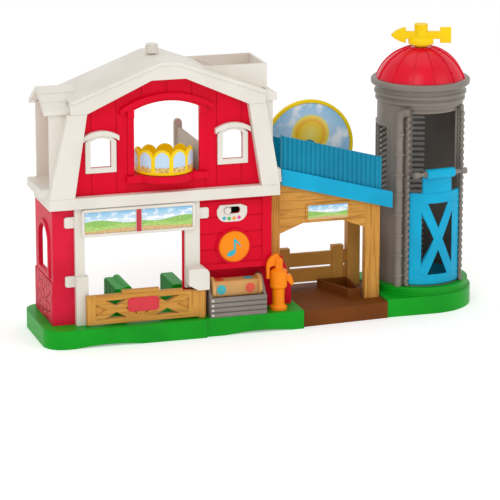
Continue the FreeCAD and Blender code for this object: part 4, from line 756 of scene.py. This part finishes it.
SILO = np.array([254.0, 43.0, 0.0])
SILO_TURN = 7.0  # degrees that the mouth is turned to the right of the front
SILO_FOOT, SILO_INNER, SILO_OUTER = 17.0, 36.9, 39.5
MOUTH_FOOT, MOUTH_HEAD = 24.5, 190.0
HATCH_FOOT, HATCH_HEAD = 104.0, 171.0
VANE_TURN, VANE_FOOT = 163.0, 241.4


def vane():
    """Arrow as a flat bar whose half width steps at tail and neck, a bulged hub, a post and a pin."""
    middle, thick = 10.5, 2.8
    x = np.array([-27.5, -17.5, -17.4, 13.9, 14.0, 17.5, 21.0, 24.5, 27.4])
    half = np.array([7.0, 7.0, 3.4, 3.4, 7.0, 6.3, 4.9, 2.9, 0.4])
    arrow = ribbon(placed(x, middle - half), placed(x, middle + half), -thick, thick, Y)
    hub_radius, hub_foot, hub_edge, hub_bulge = 11.6, 2.6, 5.0, 6.0
    u, v = round_square(*unit_grid(25, 25))
    bulge = hub_edge + hub_bulge * np.sqrt(1 - 0.98 * (u ** 2 + v ** 2))
    hub = filled(*[placed(hub_radius * u, hub_radius * v, z) for z in (bulge, hub_foot)])
    post_radius, post_top, pin_radius, pin_long = 6.2, 20.8, 2.0, 9.0
    post = disc(post_top * UP, [post_radius, 0, 0], [0, post_radius, 0], -post_top * UP, size=25)
    pin = disc(0 * UP, [pin_radius, 0, 0], [0, pin_radius, 0], -pin_long * UP)
    return turned(together([arrow, hub, post, pin]), VANE_TURN, SILO + VANE_FOOT * UP)


def silo_shell():
    """Silo wall as a grid of angle and height, rim and bands in its outer radius.

    Cells in the mouth and the hatch are left out, and every edge of what is left is closed.
    """
    # height and outer radius of the lower band, the upper band and the rim
    top = np.array([(192.4, 39.5), (193.0, 40.8), (193.8, 41.3), (195.4, 41.3), (196.2, 40.8), (196.8, 40.0),
                    (198.0, 40.0), (198.6, 41.6), (199.6, 42.4), (201.6, 42.4), (202.6, 41.6), (203.2, 41.0),
                    (206.8, 41.0), (207.4, 44.2), (208.4, 45.4), (209.4, 45.6), (211.4, 45.6), (212.4, 45.3),
                    (213.0, 44.4)])
    hatch_at, hatch_half, mouth_at, mouth_half = 180.0, 22.3, 270.0 + SILO_TURN, 43.5
    frame_half, frame_foot, frame_head, frame_proud = 26.0, 101.3, 173.7, 1.2
    steep_angle, steep_height = 0.2, 0.3
    wall = [SILO_FOOT, MOUTH_FOOT, frame_foot - steep_height, frame_foot + steep_height, HATCH_FOOT,
            HATCH_HEAD, frame_head - steep_height, frame_head + steep_height, MOUTH_HEAD]
    heights = np.concatenate([wall, top[:, 0]])
    radii = np.concatenate([np.full(len(wall), SILO_OUTER), top[:, 1]])
    halves = np.array([hatch_half, frame_half - steep_angle, frame_half + steep_angle])
    angles = np.unique(np.concatenate([np.arange(0, 360, 2.0), hatch_at - halves, hatch_at + halves,
                                       [mouth_at - mouth_half, mouth_at + mouth_half]]))
    middle = (angles + np.append(angles[1:], 360.0)) / 2
    level = (heights[:-1] + heights[1:])[:, None] / 2
    mouth = (np.abs(middle - mouth_at) < mouth_half) & (level > MOUTH_FOOT) & (level < MOUTH_HEAD)
    hatch = (np.abs(middle - hatch_at) < hatch_half) & (level > HATCH_FOOT) & (level < HATCH_HEAD)
    solid = ~(mouth | hatch)
    beside = (heights[:, None] > frame_foot) & (heights[:, None] < frame_head)
    raised = (np.abs(angles - hatch_at) < frame_half) & beside
    out = outward(np.radians(angles))
    up = SILO + heights[:, None, None] * UP
    outer = up + out * (radii[:, None] + frame_proud * raised)[..., None]
    inner = up + out * SILO_INNER
    count = outer.shape[0] * outer.shape[1]
    place = np.arange(count).reshape(outer.shape[:2])
    on = np.roll(place, -1, 1)
    a, b, c, d = place[:-1], on[:-1], on[1:], place[1:]
    e, f, g, h = a + count, b + count, c + count, d + count
    end = np.zeros_like(solid[:1])
    below, above = np.concatenate([end, solid[:-1]]), np.concatenate([solid[1:], end])
    faces = [np.stack(corners, -1)[where] for corners, where in (
        ((a, b, c, d), solid), ((e, h, g, f), solid),
        ((a, e, f, b), solid & ~below), ((d, c, g, h), solid & ~above),
        ((a, d, h, e), solid & ~np.roll(solid, 1, 1)), ((b, f, g, c), solid & ~np.roll(solid, -1, 1)))]
    used, faces = np.unique(np.concatenate(faces), return_inverse=True)
    points = np.concatenate([outer.reshape(-1, 3), inner.reshape(-1, 3)])[used]
    return points, faces.reshape(-1, 4)


def silo_jambs():
    """Two upright bars at the mouth's edges, which carry the racks."""
    inner, outer, near, far = 26.2, 29.2, -31.0, -26.0
    parts = []
    for x0, x1 in ((-outer, -inner), (inner, outer)):
        parts.append(ribbon([(x0, near), (x1, near)], [(x0, far), (x1, far)], MOUTH_FOOT, MOUTH_HEAD, Z))
    return turned(together(parts), SILO_TURN, SILO)


def bent_strip(start, end, low, high, front, back, steps):
    """Strip round the upright axis: from start to end in degrees, low to high, front to back in radius."""
    v, u = np.meshgrid([low, high], np.radians(np.linspace(start, end, steps)), indexing="ij")
    up = v[..., None] * UP
    return filled(up + front * outward(u), up + back * outward(u))


def rungs():
    """Moulded rungs inside the silo: short arcs of a ring, one every 5.1 mm."""
    start, end, thick, front, back = 155.0, 62.0, 2.8, 35.3, 36.8
    lowest, highest, pitch = 28.0, 187.0, 5.1
    parts = []
    for level in np.arange(lowest, highest, pitch):
        parts.append(bent_strip(start, end, level, level + thick, front, back, steps=24))
    points, faces = together(parts)
    return points + SILO, faces


def mouth_frame():
    """Frame round the upper mouth: two upright strips and one across, bent to the inner wall."""
    front, back, reach, foot, under, head = 36.6, 34.8, 45.0, 128.0, 185.5, 189.5
    left_inner, right_inner, ahead = -38.0, 41.5, -90.0
    parts = []
    for start, end, low, high in ((-reach, left_inner, foot, under), (right_inner, reach, foot, under),
                                  (-reach, reach, under, head)):
        parts.append(bent_strip(ahead + start, ahead + end, low, high, front, back, steps=31))
    return turned(together(parts), SILO_TURN, SILO)


def pipe_bend():
    """Top of the filling pipe: a quarter turn of a 3.6 mm tube on a 7 mm bend, then straight."""
    from_axis, foot, at = 43.1, 180.9, math.radians(225)
    bend, tube_radius, straight = 7.0, 3.6, 3.0
    start = SILO + from_axis * outward(at) + foot * UP
    along = outward(at + math.pi / 2)
    turn = np.radians(np.linspace(0, 90, 13))[:, None]
    path = start + bend * (1 - np.cos(turn)) * along + bend * np.sin(turn) * UP
    heading = np.sin(turn) * along + np.cos(turn) * UP
    path = np.concatenate([path, path[-1:] + straight * along])
    heading = np.concatenate([heading, heading[-1:]])
    side = np.cross(along, UP)
    other = np.cross(heading, side)
    round_about = np.radians(np.arange(0, 360, 15))[None, :, None]
    tube = path[:, None] + tube_radius * (np.cos(round_about) * side + np.sin(round_about) * other[:, None])
    count, sides = tube.shape[:2]
    place = np.arange(count * sides).reshape(count, sides)
    on = np.roll(place, -1, 1)
    wall = np.stack([place[:-1], on[:-1], on[1:], place[1:]], -1).reshape(-1, 4).tolist()
    return tube.reshape(-1, 3), wall + [place[0, ::-1].tolist(), place[-1].tolist()]


def lift_cladding():
    """Broad frame and crossed straps on the lift's round face, each a strip bent round the silo."""
    middle, post_x, post_half, post_high = 68.6, 20.5, 4.8, 43.0
    rail_half, rail_high, rail_levels = 15.7, 4.6, (30.2, 107.0)
    run, rise, strap_half, strap_lean = 14.6, 33.6, 3.7, 1.6
    frame_face, strap_face, upper_strap_face = 40.3, 40.5, 40.7
    u, v = unit_grid(9, 25)
    shapes = [(x + post_half * u, middle + post_high * v, frame_face) for x in (-post_x, post_x)]
    shapes += [(rail_half * u, z + rail_high * v, frame_face) for z in rail_levels]
    shapes.append((run * u + strap_half * v, middle - rise * u + strap_lean * v, strap_face))
    shapes.append((run * u - strap_half * v, middle + rise * u + strap_lean * v, upper_strap_face))
    parts = []
    for x, z, radius in shapes:
        parts.append(filled(*[placed(x, -np.sqrt(r ** 2 - x ** 2), z) for r in (radius, SILO_OUTER)]))
    return turned(together(parts), SILO_TURN, SILO)


made = add_piece("vane_dressed", vane(), "yellow_plastic", "vane")
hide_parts("weather_vane")
made = add_piece("silo_dressed", silo_shell(), "silo_plastic", smooth=True)
made.data.set_sharp_from_angle(angle=math.radians(35))
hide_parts("silo_body")
add_piece("silo_jambs", silo_jambs(), "silo_plastic")
# The rungs are the silo's own grey plastic, drawn in a paler grey: painted light that lifts them out of the
# shade inside the silo.
add_piece("silo_rungs", rungs(), "silo_plastic", look=chute_grey)
add_piece("silo_mouth_frame", mouth_frame(), "silo_plastic")
add_piece("silo_pipe_bend", pipe_bend(), "silo_plastic", smooth=True)
add_piece("lift_cladding", lift_cladding(), "blue_plastic", "lift")


# Labels

PAPER = 0.3  # a label's thickness, drawn thick enough for a closed mesh
SIGN_FOOT, SIGN_HEAD, SIGN_FACE = 100.9, 120.1, -7.5
SIGN_PICTURES = (("left", -77.3, -31.0, 0.3), ("right", -25.2, 21.1, 3.4))  # edges, shift of the hills
HEADER, HEADER_FACE = (135.6, 93.6, 173.4, 106.9), 10.3  # left, foot, right and head of its picture
SKY_X, SKY_Z = 153.6, 149.8
BUTTON_X, BUTTON_Z = 61.5, 78.0


def sign_band():
    """Upright band between the sign's two pictures."""
    left, right, over, face = -30.3, -25.9, 0.5, -8.3
    return plate(left, SIGN_FOOT - over, right, SIGN_HEAD + over, face, PAPER)


def header_frame():
    """Plate behind the header's picture, which shows as a timber frame round it."""
    beside, over, face, thick = 2.2, 2.1, 10.6, 1.0
    left, foot, right, head = HEADER
    return plate(left - beside, foot - over, right + beside, head + over, face, thick, corner=0.5)


def round_label():
    """Ring-shaped label: a thin washer round the disc's pin, its face to the front."""
    outer, hole, back = 39.8, 3.2, 66.0
    angle = np.radians(np.arange(0, 360, 3))
    loops = []
    for radius, y in ((outer, back), (outer, back - PAPER), (hole, back - PAPER), (hole, back)):
        loops.append(placed(SKY_X + radius * np.cos(angle), y, SKY_Z + radius * np.sin(angle)))
    return ring(loops)


def gate_badge():
    """Plain badge on the gate, with rounded corners."""
    left, foot, right, head, face, thick = -40.4, 28.0, -11.4, 41.0, -13.0, 0.5
    return plate(left, foot, right, head, face, thick, corner=0.6)


def on_button(x, z, lift):
    """Depth of the button's crown, a sphere cap 1.4 mm high over a radius of 12.2 mm, less lift."""
    radius, crown, face = 12.2, 1.4, -5.6
    bend = (radius ** 2 + crown ** 2) / (2 * crown)
    away = (x - BUTTON_X) ** 2 + (z - BUTTON_Z) ** 2
    return face + bend - np.sqrt(bend ** 2 - away) - lift


def button_note():
    """A single note: a tilted elliptic head, an upright stem and a flag that sweeps and thins."""
    lift = 0.22
    head_x, head_z, head_wide, head_high, lean, tilt = 58.2, 72.6, 4.0, 2.9, 0.6, 1.0
    stem_x, stem_z, stem_half, stem_high = 61.2, 79.0, 0.9, 6.4
    flag_x, flag_z, flag_run, flag_fall, flag_half, flag_thins = 61.6, 84.0, 5.6, 6.0, 1.6, 1.1
    a, b = round_square(*unit_grid(13, 13))
    shapes = [(head_x + head_wide * a + lean * b, head_z + head_high * b + tilt * a)]
    u, v = unit_grid(13, 4)
    shapes.append((stem_x + stem_half * u, stem_z + stem_high * v))
    u, v = unit_grid(4, 17)
    run = (u + 1) / 2
    shapes.append((flag_x + flag_run * run,
                   flag_z - flag_fall * run ** 1.6 + v * (flag_half - flag_thins * run)))
    parts = []
    for x, z in shapes:
        front = placed(x, on_button(x, z, lift), z)
        parts.append(filled(front, front + [0.0, PAPER, 0.0]))
    return together(parts)


def switch_dot(index):
    """Round dot under the switch's slot; the four lie on a shallow curve."""
    first, pitch, level, bow, face, radius = 52.6, 4.6, 103.9, 0.25, -1.7, 1.55
    centre = [first + pitch * index, face, level + bow * (index - 1.5) ** 2]
    return disc(centre, [radius, 0, 0], [0, 0, radius], [0, PAPER, 0])


def crate_nails():
    """Nail heads as low domes: a square grid drawn onto a disc, raised by 1 - r squared."""
    x, lowest, pitch, radius, high, face, back = 37.5, 19.2, 4.5, 1.1, 0.55, -17.02, -16.9
    u, v = round_square(*unit_grid(9, 9))
    parts = []
    for z in lowest + pitch * np.arange(4):
        dome = face - high * (1 - u ** 2 - v ** 2)
        parts.append(filled(*[placed(x + radius * u, y, z + radius * v) for y in (dome, back)]))
    return together(parts)


def roller_spots(phase):
    """Round spots on the roller's flats, every quarter turn about its axis."""
    axis_y, axis_z, flat, radius, thick = -3.6, 41.0, 7.65, 4.4, 0.25
    places = (74.0, 47.0)
    parts = []
    for quarter in range(4):
        turn = math.radians(90 * quarter)
        out = np.array([0.0, -math.sin(turn), math.cos(turn)])
        along = np.array([0.0, math.cos(turn), math.sin(turn)])
        centre = np.array([places[(quarter + phase) % 2], axis_y, axis_z]) + out * flat
        parts.append(disc(centre, [radius, 0, 0], along * radius, -out * thick))
    return together(parts)


for side, x0, x1, phase in SIGN_PICTURES:
    paint = meadow(x0, SIGN_FOOT, x1, SIGN_HEAD, phase)
    add_piece("sign_picture_" + side, plate(x0, SIGN_FOOT, x1, SIGN_HEAD, SIGN_FACE, PAPER), ivory,
              look=printed("printed meadow label " + side, paint))
add_piece("sign_middle_band", sign_band(), ivory, look=printed("printed red band", ink("#C4102E")))
add_piece("header_picture_frame", header_frame(), "timber_plastic", look=lean_to_timber)
add_piece("header_picture", plate(*HEADER, HEADER_FACE, PAPER), ivory,
          look=printed("printed meadow label header", meadow(*HEADER, phase=1.6)))
paint = sky_rings((SKY_X - MIDDLE[0]) * MM, SKY_Z * MM)
add_piece("sky_picture", round_label(), "yellow_plastic", "sky", printed("printed sky label", paint))
add_piece("gate_badge", gate_badge(), "red_plastic", "gate", printed("printed red label", ink("#D9152B")))
add_piece("nest_labels", nest_labels(), "yellow_plastic", "nest", printed("printed straw label", straw_print))
add_piece("button_note", button_note(), "orange_plastic", "button",
          printed("printed teal ink", ink("#12B5C4"), gloss=0.28))
for index, colour in enumerate(("#16B1C6", "#3DB54A", "#F59A23", "#E5489A")):
    add_piece(f"switch_dot_{index}", switch_dot(index), ivory,
              look=printed(f"printed dot {index}", ink(colour)))
add_piece("crate_nails", crate_nails(), "crate_plastic", look=nail_white, smooth=True)
for phase, colour in enumerate(("#2DB3B8", "#E4482F")):
    add_piece(f"roller_spots_{phase}", roller_spots(phase), "tan_plastic", "roller",
              printed(f"printed spot {phase}", ink(colour)))


# Stage, light and camera, in metres

LAMPS_AIM = Vector((0.05, 0.0, 0.12))  # about the middle of the barn
CAMERA_PLACE = (-0.7797, -2.5328, 0.7724)
CAMERA_AZIMUTH, CAMERA_ELEVATION = math.radians(17.0), math.radians(15.0)


def studio_floor():
    """Pale matt floor of one square face, far wider than the view."""
    half = 9.0
    mesh = bpy.data.meshes.new("studio floor")
    mesh.from_pydata([(-half, -half, 0), (half, -half, 0), (half, half, 0), (-half, half, 0)], [],
                     [(0, 1, 2, 3)])
    made = bpy.data.objects.new("studio floor", mesh)
    bpy.context.scene.collection.objects.link(made)
    material, tree, where, shader = blank("matt white paper floor")
    connect(tree, shader, {"Base Color": grey(0.93), "Roughness": 0.9, "Specular IOR Level": 0.0,
                           "Emission Color": grey(1.0), "Emission Strength": 0.28})
    mesh.materials.append(material)


def lamp(name, place, size, power):
    """A soft square lamp at place, turned to the middle of the barn."""
    light = bpy.data.lights.new(name, "AREA")
    light.size = size
    light.energy = power
    made = bpy.data.objects.new(name, light)
    made.location = place
    made.rotation_euler = (LAMPS_AIM - made.location).to_track_quat("-Z", "Y").to_euler()
    bpy.context.scene.collection.objects.link(made)


studio_floor()
lamp("key lamp", (-1.3, -2.2, 2.3), size=1.6, power=22.5)
lamp("fill lamp", (1.9, -2.0, 1.5), size=1.8, power=10.5)
lamp("top lamp", (0.1, 0.4, 2.6), size=2.0, power=10)

# White surroundings that light the part less than they show to the camera and in reflections
world = bpy.data.worlds.new("white studio")
bpy.context.scene.world = world
world.use_nodes = True
tree = world.node_tree
tree.nodes.clear()
seen = node(tree, "LightPath", pick="Is Camera Ray")
for ray in ("Is Glossy Ray", "Is Transmission Ray"):
    seen = node(tree, "Math", {0: seen, 1: node(tree, "LightPath", pick=ray)}, operation="MAXIMUM")
strength = node(tree, "MapRange", {"Value": seen, "To Min": 0.62, "To Max": 1.0})
glow = node(tree, "Background", {"Color": grey(1.0), "Strength": strength})
node(tree, "OutputWorld", {"Surface": glow})

camera_data = bpy.data.cameras.new("photo camera")
camera_data.lens = 216.0
camera_data.sensor_width = 36.0
camera_data.clip_end = 50.0
camera = bpy.data.objects.new("photo camera", camera_data)
east, north = math.sin(CAMERA_AZIMUTH), math.cos(CAMERA_AZIMUTH)
rise, level = math.sin(CAMERA_ELEVATION), math.cos(CAMERA_ELEVATION)
axes = ((north, -east, 0.0), (east * rise, north * rise, level), (-east * level, -north * level, rise))
camera.matrix_world = Matrix.Translation(CAMERA_PLACE) @ Matrix(axes).transposed().to_4x4()
bpy.context.scene.collection.objects.link(camera)
bpy.context.scene.camera = camera
bpy.context.scene.view_settings.view_transform = "Standard"
